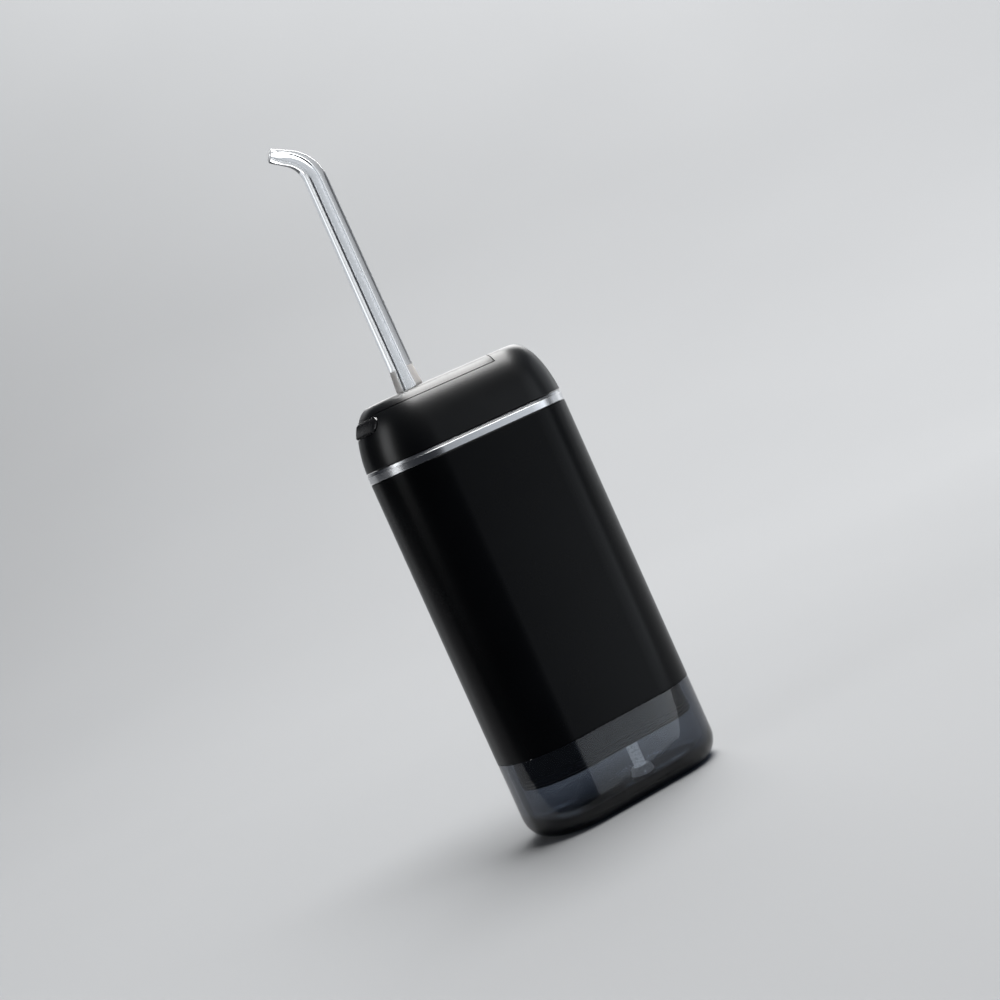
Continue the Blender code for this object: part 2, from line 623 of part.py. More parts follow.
def build_piston(mats):
    """Cylinder along X, and the forked piston at the -X end of its stroke."""
    white = mats['white']
    axis = along_x(PUMP_Z)
    wrist = (WRIST_X, 0, PUMP_Z)
    lathe("pump_cylinder", [(3.5, -18.4), (3.5, -10.6), (2.7, -10.6), (2.7, -18.4)], white,
          closed=True, matrix=axis)
    piston = lathe("pump_piston", [(2.3, WRIST_X - 3.4), (2.3, WRIST_X + 1.9)], white, n=12,
                   matrix=axis, origin=wrist)
    cut(piston, box("fork", (WRIST_X - 1.6, -4, PUMP_Z - 1.25),
                    (WRIST_X + 4, 4, PUMP_Z + 1.25), white))
    bore(piston, 0.75, 90.0, 104.0, cx=WRIST_X)
    lathe("piston_cup", [(1.0, WRIST_X - 5.6), (2.45, WRIST_X - 5.6), (2.3, WRIST_X - 3.7),
                         (1.0, WRIST_X - 3.7)], mats['rubber'], n=12, matrix=axis,
          origin=wrist)
    lathe("wrist_pin", [(0.55, PUMP_Z - 2.0), (0.55, PUMP_Z + 2.0)], mats['steel'], n=10,
          cx=WRIST_X, origin=wrist)


def build_connecting_rod(mats):
    """Round-ended rod from wrist pin to crank station, bored at the wrist pin."""
    outline = arc(CRANK_X, 1.5, -70, 140, seg=8) + arc(WRIST_X, 1.25, 120, 120, seg=6)
    rod = prism("connecting_rod", outline, PUMP_Z - ROD_HALF_T, PUMP_Z + ROD_HALF_T,
                mats['white'], origin=(WRIST_X, 0, PUMP_Z))
    bore(rod, 0.85, 90.0, 104.0, cx=WRIST_X)


def build_hoses(mats):
    hose("suction_hose", elbow_path((1.5, -5.3, SUCTION_HOSE_Z), (VALVE_X, 0, SUCTION_HOSE_Z),
                                    (VALVE_X, 0, 91.4), radius=3.5), mats['silicone'])
    hose("pressure_tube", elbow_path((VALVE_X, 0, 102.6), (VALVE_X, 0, INLET_Z),
                                     (NOZ_X - 5.3, 0, INLET_Z), radius=3.0), mats['silicone'])


# ============================================================================
#  nozzle
# ============================================================================
def nozzle_path():
    """Centre line above the flange: straight, bent toward -X, short straight tip."""
    path = [(NOZ_X, 0, z) for z in (128.6, 134.6, 150.0, 170.0, NOZ_STRAIGHT)]
    end_angle = math.radians(NOZ_BEND_DEG)
    for k in range(1, NOZ_BEND_SEG + 1):
        angle = end_angle * k / NOZ_BEND_SEG
        path.append((NOZ_X - NOZ_BEND_R * (1 - math.cos(angle)), 0,
                     NOZ_STRAIGHT + NOZ_BEND_R * math.sin(angle)))
    x, _, z = path[-1]
    for length in (NOZ_END * 0.55, NOZ_END):
        path.append((x - length * math.sin(end_angle), 0, z + length * math.cos(end_angle)))
    return path


def build_nozzle(mats):
    """Hollow nozzle with two grooves in its stem, and its O-ring."""
    # columns: radius, z
    stem = [(1.3, NOZ_Z0), (2.6, NOZ_Z0), (2.6, 116.4), (1.95, 116.6), (1.95, 118.4),
            (2.6, 118.6), (2.6, 121.9), (2.2, 122.1), (2.2, 123.7), (2.6, 123.9),
            (2.6, 126.6), (3.8, 127.0), (3.8, 128.2)]
    bore_foot = [(1.4, 127.0), (1.3, 124.6)]
    # one radius per point of the path
    outer_radii = [NOZ_FLARE, NOZ_R0, 3.33, 3.26, NOZ_R1,
                   3.12, 3.0, 2.85, 2.7, 2.55, 2.4, 2.28, 2.1, 1.95]
    inner_radii = [1.4] + [NOZ_BORE] * (4 + NOZ_BEND_SEG) + [0.9, 0.45]
    path = nozzle_path()
    origin = (NOZ_X, 0, NOZ_Z0)
    loops = [circle(radius, z, NOZ_SEG, NOZ_X) for radius, z in stem]
    loops += sweep(path, outer_radii, NOZ_SEG)
    loops += sweep(path, inner_radii, NOZ_SEG)[::-1]
    loops += [circle(radius, z, NOZ_SEG, NOZ_X) for radius, z in bore_foot]
    skin("nozzle", loops, mats['jet'], closed=True, origin=origin)
    lathe("nozzle_oring", [(2.25, 116.9), (2.75, 116.9), (3.05, 117.3), (3.05, 117.7),
                           (2.75, 118.1), (2.25, 118.1)],
          mats['rubber'], cx=NOZ_X, closed=True, origin=origin)


def build_nozzle_socket(mats):
    """Swivel sleeve in a cup-shaped socket with a side inlet from -X."""
    lathe("swivel_sleeve", [(3.35, 114.6), (4.2, 114.6), (4.2, 119.6), (4.7, 119.8),
                            (4.7, 121.0), (3.35, 121.0)],
          mats['white'], cx=NOZ_X, closed=True, origin=(NOZ_X, 0, 114.6))
    socket = lathe("nozzle_socket", [(5.0, 110.6), (5.0, 119.3), (4.5, 119.3), (4.5, 114.2),
                                     (2.9, 114.2), (2.9, 112.2), (1.2, 112.0), (1.2, 111.4)],
                   mats['grey'], cx=NOZ_X)
    bore(socket, 0.8, -20.0, NOZ_X - 1.0, matrix=along_x(INLET_Z))


# ============================================================================
#  controls
# ============================================================================
def build_release(mats):
    """Ribbed nozzle release, its yoke round the nozzle groove, and a bow spring."""
    black = mats['black']
    release = thumb_bar("release_button", THUMB_HALF_W, THUMB_HALF_H,
                        proud=0.5, x_in=-25.2, mat=black, ribs=THUMB_RIBS)
    yoke = box("yoke", (-25.6, -4.6, THUMB_Z - 0.5), (-2.6, 4.6, THUMB_Z + 0.5), black)
    cut(yoke, prism("yoke_slot", stadium(4.9, 3.2, NOZ_X - 0.6), 120.0, 126.0, black))
    fuse(release, yoke)

    # the spring bows toward the yoke between its two ends
    half_span, bow, end_x, thickness = 4.0, 0.9, 0.6, 0.3
    near = []
    for k in range(9):
        y = -half_span + k
        near.append((end_x - bow * (1 - (y / half_span) ** 2), y))
    far = [(x + thickness, y) for x, y in near]
    prism("return_spring", near + far[::-1], 121.6, 124.2, mats['steel'])


def build_board(mats):
    """Main board with its switch, charging socket and lamp guide."""
    steel = mats['steel']
    box("control_board", (-13.0, 8.6, 113.2), (14.8, 9.6, 121.5), mats['board'])
    box("tact_switch", (-8.2, 9.8, 113.9), (-3.8, 11.1, 118.1), steel)
    centre = (PORT_X, 117.2)
    usb = slot_bar("usb_socket", (4.3, 1.6), centre, (9.9, 13.9), steel, seg=4)
    cut(usb, slot_bar("usb_mouth", (3.95, 1.25), centre, (11.0, 16.0), steel, seg=4))
    lathe("light_pipe", [(LIGHT_R, 9.9), (LIGHT_R, 16.3)], mats['diffuser'], n=12,
          matrix=along_y(LIGHT_X, CONTROL_Z))


def build_power_button(mats):
    """Rounded cap with a flange behind the wall, in line with the switch."""
    black = mats['black']
    centre = (BUTTON_X, CONTROL_Z)
    button = slot_bar("power_button", BUTTON_HALF, centre, (12.4, 16.7), black,
                      origin=(BUTTON_X, 16.7, CONTROL_Z))
    fuse(button, slot_bar("flange", (5.6, 3.0), centre, (11.9, 12.7), black))


def build_port_flap(mats):
    """Charging port flap with its boss; origin on its lower outer edge."""
    rubber = mats['rubber']
    flap = box("port_flap", (FLAP_X0, 15.3, FLAP_Z0), (FLAP_X1, 16.6, FLAP_Z1), rubber,
               origin=(PORT_X, 16.6, FLAP_Z0))
    fuse(flap, slot_bar("boss", (4.0, 1.1), (PORT_X, 117.0), (14.3, 15.8), rubber, seg=4))


def main():
    clear_objects()
    mats = make_materials()
    for build in (build_tank, build_sleeve, build_pickup, build_fill_plug,
                  build_casing, build_casing_floor,
                  build_head_shell, build_top_cover, build_casing_screws,
                  build_drive_frame, build_motor, build_gears, build_battery,
                  build_valve_block, build_piston, build_connecting_rod, build_hoses,
                  build_nozzle, build_nozzle_socket,
                  build_release, build_board, build_power_button, build_port_flap):
        build(mats)
    bpy.context.view_layer.update()


main()
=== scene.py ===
"""Collapsible pocket water flosser: detailed looks built round its CAD frame.

It stands upright on z = 0, centred on the Z axis, its width along X and its depth along Y.
The clear tank and black sleeve are below, the pump module and its head above. The power key
and charging flap are on the +Y face, the release button is on the -X end, and the nozzle
bends toward -X. Pieces are measured in millimetres; stage, lights and camera in metres.
"""
import bpy
import bmesh
import json
import math
from mathutils import Vector, Matrix


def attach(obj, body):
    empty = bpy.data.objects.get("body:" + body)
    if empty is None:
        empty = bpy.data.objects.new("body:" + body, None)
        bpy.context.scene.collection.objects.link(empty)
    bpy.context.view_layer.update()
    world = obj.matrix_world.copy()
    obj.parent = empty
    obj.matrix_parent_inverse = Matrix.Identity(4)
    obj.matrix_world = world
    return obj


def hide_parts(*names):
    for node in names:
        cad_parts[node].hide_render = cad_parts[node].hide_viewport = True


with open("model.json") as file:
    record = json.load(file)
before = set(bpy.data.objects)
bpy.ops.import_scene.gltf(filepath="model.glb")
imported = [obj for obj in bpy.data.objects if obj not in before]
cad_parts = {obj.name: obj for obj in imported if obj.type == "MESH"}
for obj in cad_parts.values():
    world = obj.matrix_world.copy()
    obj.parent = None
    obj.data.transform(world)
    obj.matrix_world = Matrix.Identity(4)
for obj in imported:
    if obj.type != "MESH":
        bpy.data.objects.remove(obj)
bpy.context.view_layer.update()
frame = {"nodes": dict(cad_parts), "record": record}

MM = 0.001

# Body: a rounded rectangle in plan. An "offset" is a distance inward from that outline.
BODY_WIDTH, BODY_DEPTH, BODY_TOP = 60.0, 34.0, 128.0
PLAN_R = 16.0
PLAN_CX = BODY_WIDTH / 2 - PLAN_R
PLAN_CY = BODY_DEPTH / 2 - PLAN_R
PLAN_STEPS = 22

# Tank and the pieces that stay with it
FOOT_IN, FOOT_UP = 6.0, 7.0
CLEAR_TOP = 23.8
TANK_WALL, TANK_STEP, TANK_TOP = 2.6, 1.3, 106.0
TANK_FLOOR_R = 5.0
SLEEVE_Z0, SLEEVE_Z1, SLEEVE_WALL = 24.0 - 0.12, 108.2, 1.0
RING_Z0, RING_Z1 = 108.4, 111.2
RING_CHAMFER, RING_LEAN = 0.405, 0.90
RING_LINE = 0.07
TUBE_AT = (4.4, -6.0)
TUBE_Z0, TUBE_Z1 = 5.3, 84.0

# Fill plug on the +Y face; sizes are half width and half height, centres are (x, z)
PLUG_HALF, PLUG_AT, PLUG_GAP = (8.0, 5.3), (0.0, 13.6), 0.3
STEM_HALF, STEM_AT, STEM_GAP = (4.2, 3.2), (0.0, 12.6), 0.4

# Pump module
CASE_IN, CASE_WALL, CASE_Z0, CASE_Z1 = 3.1, 1.5, 17.6, 112.6
FLOOR_Z0 = 14.9
POSTS = ((17.0, 10.3), (-17.0, 10.3), (-17.0, -10.3), (17.0, -10.3))
POST_R, POST_HOLE_R = 1.9, 1.1
WEB_HALF, WEB_REACH, WEB_Z0, WEB_Z1 = 0.9, 4.6, 113.0, 118.0

# Head and its top cover, parted at a seam
HEAD_Z0, HEAD_WALL = 111.4, 2.0
SHOULDER_IN, SHOULDER_UP = 8.0, 19.0
TOP_INSETS = (SHOULDER_IN + 0.5, SHOULDER_IN + 2.5)
SEAM_Z, SEAM_X = 125.4, 11.5
COVER_GAP_Z, COVER_GAP_X = 0.12, 0.14

# Controls; sizes are half width and half height
RELEASE_HALF, RELEASE_Z, RELEASE_GAP = (8.2, 2.0), 122.9, 0.14
RIB_COUNT, RIB_DEEP = 13, 0.34
POWER_HALF, POWER_AT, POWER_GAP = (5.0, 2.6), (-6.0, 116.0), 0.22
FLAP_HALF, FLAP_AT, FLAP_GAP = (5.9, 2.6), (10.2, 117.0), 0.3
FLAP_X = FLAP_AT[0]
LAMP_R, LAMP_HOLE_R = 1.0, 1.2
LAMP_POSE = (Matrix.Translation(Vector((1.6, 0, POWER_AT[1])) * MM)
             @ Matrix.Rotation(math.radians(-90), 4, 'X'))
WALL_CUT = (8.0, 22.0)      # y range that passes right through the +Y wall

# Nozzle
NOZZLE_X = -9.4
NOZZLE_R0, NOZZLE_R1 = 3.4, 3.2
TAPER_Z0, TAPER_Z1 = 130.0, 190.5
BORE_R = 1.15
BEND_R, BEND_ANGLE, BEND_STEPS = 9.0, math.radians(63.0), 20
BEND_END_R, TIP_LENGTH = 2.28, 5.2
NOZZLE_SIDES = 56


# ============================================================================
#  node materials
# ============================================================================
class Graph:
    """Adds nodes to a shader tree; an input takes a value or another node's output."""

    def __init__(self, tree):
        self.tree = tree

    def feed(self, socket, value):
        if isinstance(value, bpy.types.NodeSocket):
            self.tree.links.new(value, socket)
        elif socket.type == 'RGBA':
            socket.default_value = (*value, 1.0)
        else:
            socket.default_value = value

    def node(self, kind, inputs=None, **settings):
        node = self.tree.nodes.new("ShaderNode" + kind)
        for key, value in settings.items():
            setattr(node, key, value)
        for key, value in (inputs or {}).items():
            self.feed(node.inputs[key], value)
        return node

    def math(self, operation, a, b):
        return self.node("Math", {0: a, 1: b}, operation=operation).outputs[0]

    def map_range(self, value, from_min, from_max, to_min=0.0, to_max=1.0, curve='LINEAR'):
        inputs = {"Value": value, "From Min": from_min, "From Max": from_max,
                  "To Min": to_min, "To Max": to_max}
        return self.node("MapRange", inputs, interpolation_type=curve).outputs["Result"]

    def dot(self, vector, direction):
        inputs = {0: vector, 1: direction}
        return self.node("VectorMath", inputs, operation='DOT_PRODUCT').outputs["Value"]

    def mix_rgb(self, factor, a, b):
        inputs = {"Factor": factor, "A": a, "B": b}
        return self.node("Mix", inputs, data_type='RGBA').outputs["Result"]


class Finish(Graph):
    """A new material with textures in object space."""

    SOCKETS = {"color": "Base Color", "rough": "Roughness", "metal": "Metallic",
               "normal": "Normal", "trans": "Transmission Weight", "ior": "IOR",
               "spec": "Specular IOR Level", "aniso": "Anisotropic", "sheen": "Sheen Weight",
               "emit": "Emission Strength", "emit_color": "Emission Color"}

    def __init__(self, name):
        self.material = bpy.data.materials.new(name)
        self.material.use_nodes = True
        super().__init__(self.material.node_tree)
        self.shader = self.tree.nodes["Principled BSDF"]
        self.output = self.tree.nodes["Material Output"]
        self.place = self.node("TexCoord").outputs["Object"]

    def scaled(self, scale):
        scale = scale if isinstance(scale, tuple) else (scale, scale, scale)
        return self.node("Mapping", {"Vector": self.place, "Scale": scale}).outputs["Vector"]

    def noise(self, scale, detail=2.0, rough=0.5, distortion=0.0):
        inputs = {"Vector": self.scaled(scale), "Scale": 1.0, "Detail": detail,
                  "Roughness": rough, "Distortion": distortion}
        return self.node("TexNoise", inputs).outputs["Fac"]

    def voronoi(self, scale):
        inputs = {"Vector": self.scaled(scale), "Scale": 1.0}
        return self.node("TexVoronoi", inputs).outputs["Distance"]

    def spread(self, noise, low, high):
        """Stretches the useful middle of a noise to low..high."""
        return self.map_range(noise, 0.25, 0.75, low, high)

    def blend(self, noise, dark, light):
        node = self.node("ValToRGB", {"Fac": noise})
        for stop, position, color in zip(node.color_ramp.elements, (0.3, 0.7), (dark, light)):
            stop.position = position
            stop.color = (*color, 1)
        return node.outputs["Color"]

    def bump(self, height, depth, strength, normal=None):
        """Surface relief; depth is in millimetres."""
        inputs = {"Strength": strength, "Distance": depth * MM, "Height": height}
        if normal is not None:
            inputs["Normal"] = normal
        return self.node("Bump", inputs).outputs["Normal"]

    def put(self, **values):
        for key, value in values.items():
            self.feed(self.shader.inputs[self.SOCKETS[key]], value)


# In every finish dark and light are the two ends of the colour drift, rough is the mean
# roughness, and grain or relief is the bump depth in millimetres.
def satin_plastic(name, dark, light, rough, grain, spread=0.05, spec=0.5):
    """Moulded satin finish: fine grain over a very slow sheen drift."""
    f = Finish(name)
    drift = f.noise(45.0, detail=3.0, rough=0.55)
    fine = f.noise(5200.0, rough=0.6)
    middle = f.noise(1500.0)
    sheen = f.math('ADD', f.spread(drift, rough - spread * 0.5, rough + spread * 0.5),
                   f.spread(fine, -spread * 0.4, spread * 0.4))
    normal = f.bump(fine, depth=grain, strength=0.55)
    normal = f.bump(middle, depth=grain * 1.2, strength=0.35, normal=normal)
    f.put(color=f.blend(drift, dark, light), rough=sheen, normal=normal, spec=spec)
    return f.material


def smooth_plastic(name, dark, light, rough, relief=0.006, spec=0.5):
    f = Finish(name)
    drift = f.noise(60.0, detail=3.0)
    middle = f.noise(900.0, detail=3.0)
    f.put(color=f.blend(drift, dark, light), rough=f.spread(middle, rough - 0.05, rough + 0.05),
          normal=f.bump(middle, depth=relief, strength=0.4), spec=spec)
    return f.material


def rubber(name, dark, light, rough):
    f = Finish(name)
    fine = f.noise(2600.0, detail=3.0, rough=0.65)
    cells = f.voronoi(3200.0)
    drift = f.noise(90.0)
    f.put(color=f.blend(drift, dark, light), rough=f.spread(fine, rough - 0.08, rough + 0.08),
          normal=f.bump(f.math('ADD', fine, cells), depth=0.018, strength=0.5),
          sheen=0.12, spec=0.35)
    return f.material


def brushed_metal(name, dark, light, rough, streaks, aniso=0.5, relief=0.004, variation=1.0):
    """Metal with streaks; streaks is the texture scale along x, y and z."""
    f = Finish(name)
    streak = f.noise(streaks, detail=3.0, rough=0.6)
    drift = f.noise(120.0)
    by_streak, by_drift = 0.06 * variation, 0.03 * variation
    f.put(color=f.blend(streak, dark, light), metal=1.0,
          rough=f.math('ADD', f.spread(streak, rough - by_streak, rough + by_streak),
                       f.spread(drift, -by_drift, by_drift)),
          normal=f.bump(streak, depth=relief, strength=0.5), aniso=aniso)
    return f.material


def clear_finish(name, tint, rough, flow_scale):
    """Clear moulded plastic: polished, with the faint flow waviness of a moulding."""
    f = Finish(name)
    flow = f.noise((flow_scale, flow_scale, flow_scale * 0.4), distortion=0.4)
    fine = f.noise(1800.0)
    f.put(color=f.blend(flow, tuple(c * 0.97 for c in tint), tint), trans=1.0, ior=1.49,
          rough=f.spread(fine, rough * 0.6, rough * 1.5),
          normal=f.bump(flow, depth=0.006, strength=0.35))
    return f


def clear_plastic(name, **values):
    return clear_finish(name, **values).material


def smoke_plastic(name, tint, rough, flow_scale, depth_tint, density):
    """Clear plastic tinted through its depth, so long paths go dark.

    Shadow and diffuse rays pass straight, so the pieces behind it are lit.
    """
    f = clear_finish(name, tint, rough, flow_scale)
    path = f.node("LightPath").outputs
    straight = f.math('MAXIMUM', path["Is Shadow Ray"], path["Is Diffuse Ray"])
    clear = f.node("BsdfTransparent", {"Color": tint})
    mix = f.node("MixShader", {0: straight, 1: f.shader.outputs[0], 2: clear.outputs[0]})
    depth = f.node("VolumeAbsorption", {"Color": depth_tint, "Density": density})
    f.feed(f.output.inputs["Surface"], mix.outputs[0])
    f.feed(f.output.inputs["Volume"], depth.outputs[0])
    return f.material


def milky(name, dark, light, trans=0.35, painted_glow=0.0):
    """Translucent finish; the optional emission is painted light that makes the piece glow
    though it is no lamp.
    """
    f = Finish(name)
    drift = f.noise(200.0)
    fine = f.noise(1600.0)
    f.put(color=f.blend(drift, dark, light), trans=trans, ior=1.42,
          rough=f.spread(fine, 0.22, 0.34), normal=f.bump(drift, depth=0.01, strength=0.4))
    # painted light: emission makes the piece glow
    if painted_glow:
        f.put(emit=painted_glow, emit_color=light)
    return f.material


def frosted(name, tint, flank):
    """Clear plastic with a frost that shows where the wall is looked along."""
    f = Finish(name)
    fine = f.noise(4200.0, rough=0.6)
    drift = f.noise((700.0, 700.0, 260.0))
    facing = f.node("LayerWeight", {"Blend": 0.5}).outputs["Facing"]
    side = f.map_range(f.math('ADD', facing, f.spread(drift, -0.03, 0.03)),
                       from_min=0.08, from_max=0.22, curve='SMOOTHSTEP')
    f.put(color=f.mix_rgb(side, tint, flank), ior=1.49,
          trans=f.math('SUBTRACT', 0.98, f.math('MULTIPLY', side, 0.62)),
          rough=f.math('ADD', f.math('MULTIPLY', side, 0.26), f.spread(fine, 0.04, 0.10)),
          normal=f.bump(fine, depth=0.008, strength=0.4))
    return f.material


COLLAR_BRUSH = dict(streaks=(60.0, 60.0, 5000.0), aniso=0.0, relief=0.0001, variation=0.15)
PART_BRUSH = dict(streaks=(900.0, 900.0, 4000.0))

FINISHES = {
    "satin_black": (satin_plastic, dict(
        dark=(0.0020, 0.0023, 0.0029), light=(0.0034, 0.0038, 0.0046),
        rough=0.26, grain=0.006, spread=0.03, spec=0.11)),
    "head_black": (satin_plastic, dict(
        dark=(0.0024, 0.0027, 0.0033), light=(0.0038, 0.0042, 0.0050),
        rough=0.31, grain=0.008, spec=0.30)),
    "inner_black": (smooth_plastic, dict(
        dark=(0.0035, 0.0036, 0.0042), light=(0.0055, 0.0056, 0.0064),
        rough=0.40, relief=0.001, spec=0.22)),
    "button_black": (smooth_plastic, dict(
        dark=(0.005, 0.005, 0.006), light=(0.008, 0.008, 0.009), rough=0.24, relief=0.004)),
    "clear_smoke": (smoke_plastic, dict(
        tint=(0.90, 0.91, 0.925), rough=0.055, flow_scale=70.0,
        depth_tint=(0.42, 0.46, 0.52), density=760.0)),
    "clear_nozzle": (clear_plastic, dict(
        tint=(0.955, 0.972, 0.99), rough=0.03, flow_scale=260.0)),
    "satin_metal": (brushed_metal, dict(
        dark=(0.72, 0.73, 0.75), light=(0.77, 0.78, 0.80), rough=0.25, **COLLAR_BRUSH)),
    # painted shade: darker copy of the collar metal, dims the bright reflected line
    "bright_edge": (brushed_metal, dict(
        dark=(0.34, 0.345, 0.355), light=(0.38, 0.385, 0.395), rough=0.30, **COLLAR_BRUSH)),
    "black_rubber": (rubber, dict(
        dark=(0.013, 0.013, 0.014), light=(0.020, 0.020, 0.021), rough=0.72)),
    "grey_nylon": (satin_plastic, dict(
        dark=(0.19, 0.20, 0.21), light=(0.24, 0.25, 0.26), rough=0.50, grain=0.02)),
    "white_acetal": (smooth_plastic, dict(
        dark=(0.72, 0.71, 0.68), light=(0.80, 0.79, 0.76), rough=0.38)),
    "bright_steel": (brushed_metal, dict(
        dark=(0.52, 0.52, 0.53), light=(0.64, 0.64, 0.65), rough=0.24, **PART_BRUSH)),
    "plain_brass": (brushed_metal, dict(
        dark=(0.62, 0.44, 0.17), light=(0.74, 0.54, 0.24), rough=0.26, **PART_BRUSH)),
    "green_board": (smooth_plastic, dict(
        dark=(0.006, 0.065, 0.026), light=(0.012, 0.105, 0.045), rough=0.32, relief=0.02)),
    "cell_wrap": (smooth_plastic, dict(
        dark=(0.030, 0.105, 0.27), light=(0.042, 0.135, 0.33), rough=0.28)),
    # painted light: the pickup pipe glows by emission
    "clear_silicone": (milky, dict(
        dark=(0.80, 0.82, 0.84), light=(0.88, 0.90, 0.91), trans=0.30, painted_glow=0.26)),
    "frosted_nozzle": (frosted, dict(tint=(0.94, 0.955, 0.97), flank=(0.62, 0.59, 0.57))),
    "frosted_tip": (milky, dict(dark=(0.78, 0.80, 0.82), light=(0.84, 0.86, 0.88))),
    # painted light: the filter foot glows by emission
    "foot_white": (milky, dict(
        dark=(0.70, 0.71, 0.72), light=(0.78, 0.79, 0.80), trans=0.10, painted_glow=0.16)),
    "light_diffuser": (smooth_plastic, dict(
        dark=(0.80, 0.84, 0.88), light=(0.88, 0.90, 0.94), rough=0.25)),
}
MATERIALS = {name: make(name, **values) for name, (make, values) in FINISHES.items()}


# ============================================================================
#  modelling kit: sizes in millimetres, materials by name
# ============================================================================
def quarter_arc(cx, cy, r, start, steps):
    angles = [math.radians(start + 90.0 * i / steps) for i in range(steps + 1)]
    return [(cx + r * math.cos(t), cy + r * math.sin(t)) for t in angles]


def rounded_outline(cx, cy, reach_x, reach_y, r, steps):
    """Four quarter arcs whose centres are reach_x and reach_y away from (cx, cy)."""
    points = []
    for sx, sy, start in ((1, 1, 0), (-1, 1, 90), (-1, -1, 180), (1, -1, 270)):
        points += quarter_arc(cx + sx * reach_x, cy + sy * reach_y, r, start, steps)
    return points


def level(offset, z):
    """The body outline at height z."""
    outline = rounded_outline(0.0, 0.0, PLAN_CX, PLAN_CY, PLAN_R - offset, PLAN_STEPS)
    return [(x, y, z) for x, y in outline]


def stadium(half, centre, steps=12, r=None):
    """Rounded rectangle, by default with full half-round ends."""
    r = min(half) if r is None else r
    points = rounded_outline(*centre, half[0] - r, half[1] - r, r, steps)
    return [p for i, p in enumerate(points)
            if abs(p[0] - points[i - 1][0]) + abs(p[1] - points[i - 1][1]) > 1e-6]


def grown(half, gap):
    return half[0] + gap, half[1] + gap


def circle(r, z, count, centre=(0.0, 0.0)):
    angles = [2 * math.pi * i / count for i in range(count)]
    return [(centre[0] + r * math.cos(t), centre[1] + r * math.sin(t), z) for t in angles]


def shade(mesh, angle):
    mesh.shade_smooth()
    mesh.set_sharp_from_angle(angle=math.radians(angle))


def finish(name, bm, material, angle=32.0):
    bmesh.ops.recalc_face_normals(bm, faces=bm.faces[:])
    mesh = bpy.data.meshes.new(name)
    bm.to_mesh(mesh)
    bm.free()
    ob = bpy.data.objects.new(name, mesh)
    bpy.context.scene.collection.objects.link(ob)
    mesh.materials.append(MATERIALS[material])
    shade(mesh, angle)
    return ob


def skin(name, loops, material, closed=False, matrix=None, angle=32.0):
    """Faces between successive loops; closed joins last to first, otherwise both are capped."""
    bm = bmesh.new()
    rows = [[bm.verts.new((x * MM, y * MM, z * MM)) for x, y, z in loop] for loop in loops]
    count = len(rows[0])
    pairs = list(zip(rows, rows[1:]))
    if closed:
        pairs.append((rows[-1], rows[0]))
    for a, b in pairs:
        for i in range(count):
            j = (i + 1) % count
            bm.faces.new((a[i], a[j], b[j], b[i]))
    if not closed:
        bm.faces.new(list(reversed(rows[0])))
        bm.faces.new(rows[-1])
    if matrix is not None:
        bmesh.ops.transform(bm, matrix=matrix, verts=bm.verts[:])
    return finish(name, bm, material, angle)


def body_skin(name, profile, material, **options):
    """Skin that follows the body outline; profile is (offset, z) pairs."""
    return skin(name, [level(offset, z) for offset, z in profile], material, **options)


def lathe(name, profile, material, count=48, centre=(0.0, 0.0), **options):
    """Turned piece; profile is (radius, z) pairs."""
    return skin(name, [circle(r, z, count, centre) for r, z in profile], material, **options)


def pin(r, z0, z1, centre, material, count=20):
    return lathe("pin", [(r, z0), (r, z1)], material, count, centre)


def box(lo, hi, material):
    bm = bmesh.new()
    bmesh.ops.create_cube(bm, size=1.0)
    lo, hi = Vector(lo) * MM, Vector(hi) * MM
    for v in bm.verts:
        v.co = Vector((lo[i] + (v.co[i] + 0.5) * (hi[i] - lo[i]) for i in range(3)))
    return finish("box", bm, material)


def slab(name, half, centre, layers, material, r=None, steps=12, angle=32.0):
    """Rounded slab lying in XZ and built along +Y; layers are (inset, y) pairs."""
    loops = []
    for inset, y in layers:
        corner = None if r is None else r - inset
        outline = stadium(grown(half, -inset), centre, steps, corner)
        loops.append([(x, y, z) for x, z in outline])
    return skin(name, loops, material, angle=angle)


def prism(half, centre, y_range, material, **options):
    """Straight-sided slab, used as a tool."""
    return slab("prism", half, centre, [(0.0, y) for y in y_range], material, **options)


def carve(ob, tool, operation='DIFFERENCE', angle=32.0):
    """Applies a boolean with the tool, then removes the tool."""
    modifier = ob.modifiers.new("carve", 'BOOLEAN')
    modifier.operation = operation
    modifier.solver = 'EXACT'
    modifier.object = tool
    bpy.context.view_layer.update()
    depsgraph = bpy.context.evaluated_depsgraph_get()
    mesh = bpy.data.meshes.new_from_object(ob.evaluated_get(depsgraph))
    ob.modifiers.clear()
    old_mesh, tool_mesh = ob.data, tool.data
    ob.data = mesh
    bpy.data.meshes.remove(old_mesh)
    bpy.data.objects.remove(tool, do_unlink=True)
    bpy.data.meshes.remove(tool_mesh)
    bm = bmesh.new()
    bm.from_mesh(mesh)
    bmesh.ops.remove_doubles(bm, verts=bm.verts[:], dist=0.000002)
    bmesh.ops.dissolve_degenerate(bm, edges=bm.edges[:], dist=0.000002)
    bm.to_mesh(mesh)
    bm.free()
    shade(mesh, angle)


def settle(ob, body, node):
    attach(ob, body)
    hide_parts(node)


def top_round(z, r, steps):
    """Quarter-round from the outer face in to a top edge at z, as (offset, z) pairs."""
    angles = [math.radians(90.0 * k / steps) for k in range(steps + 1)]
    return [(r * (1 - math.cos(t)), z - r + r * math.sin(t)) for t in angles]


def bottom_round(z, r, steps):
    """Quarter-round from a bottom edge at z out to the outer face."""
    angles = [math.radians(90.0 * k / steps) for k in range(steps + 1)]
    return [(r * (1 - math.sin(t)), z + r - r * math.cos(t)) for t in angles]


def shoulder_offset(z):
    """Offset of the rounded shoulder at height z."""
    drop = BODY_TOP - z
    if drop >= SHOULDER_UP:
        return 0.0
    c = 1.0 - drop / SHOULDER_UP
    return SHOULDER_IN * (1.0 - math.sqrt(max(0.0, 1.0 - c * c)))


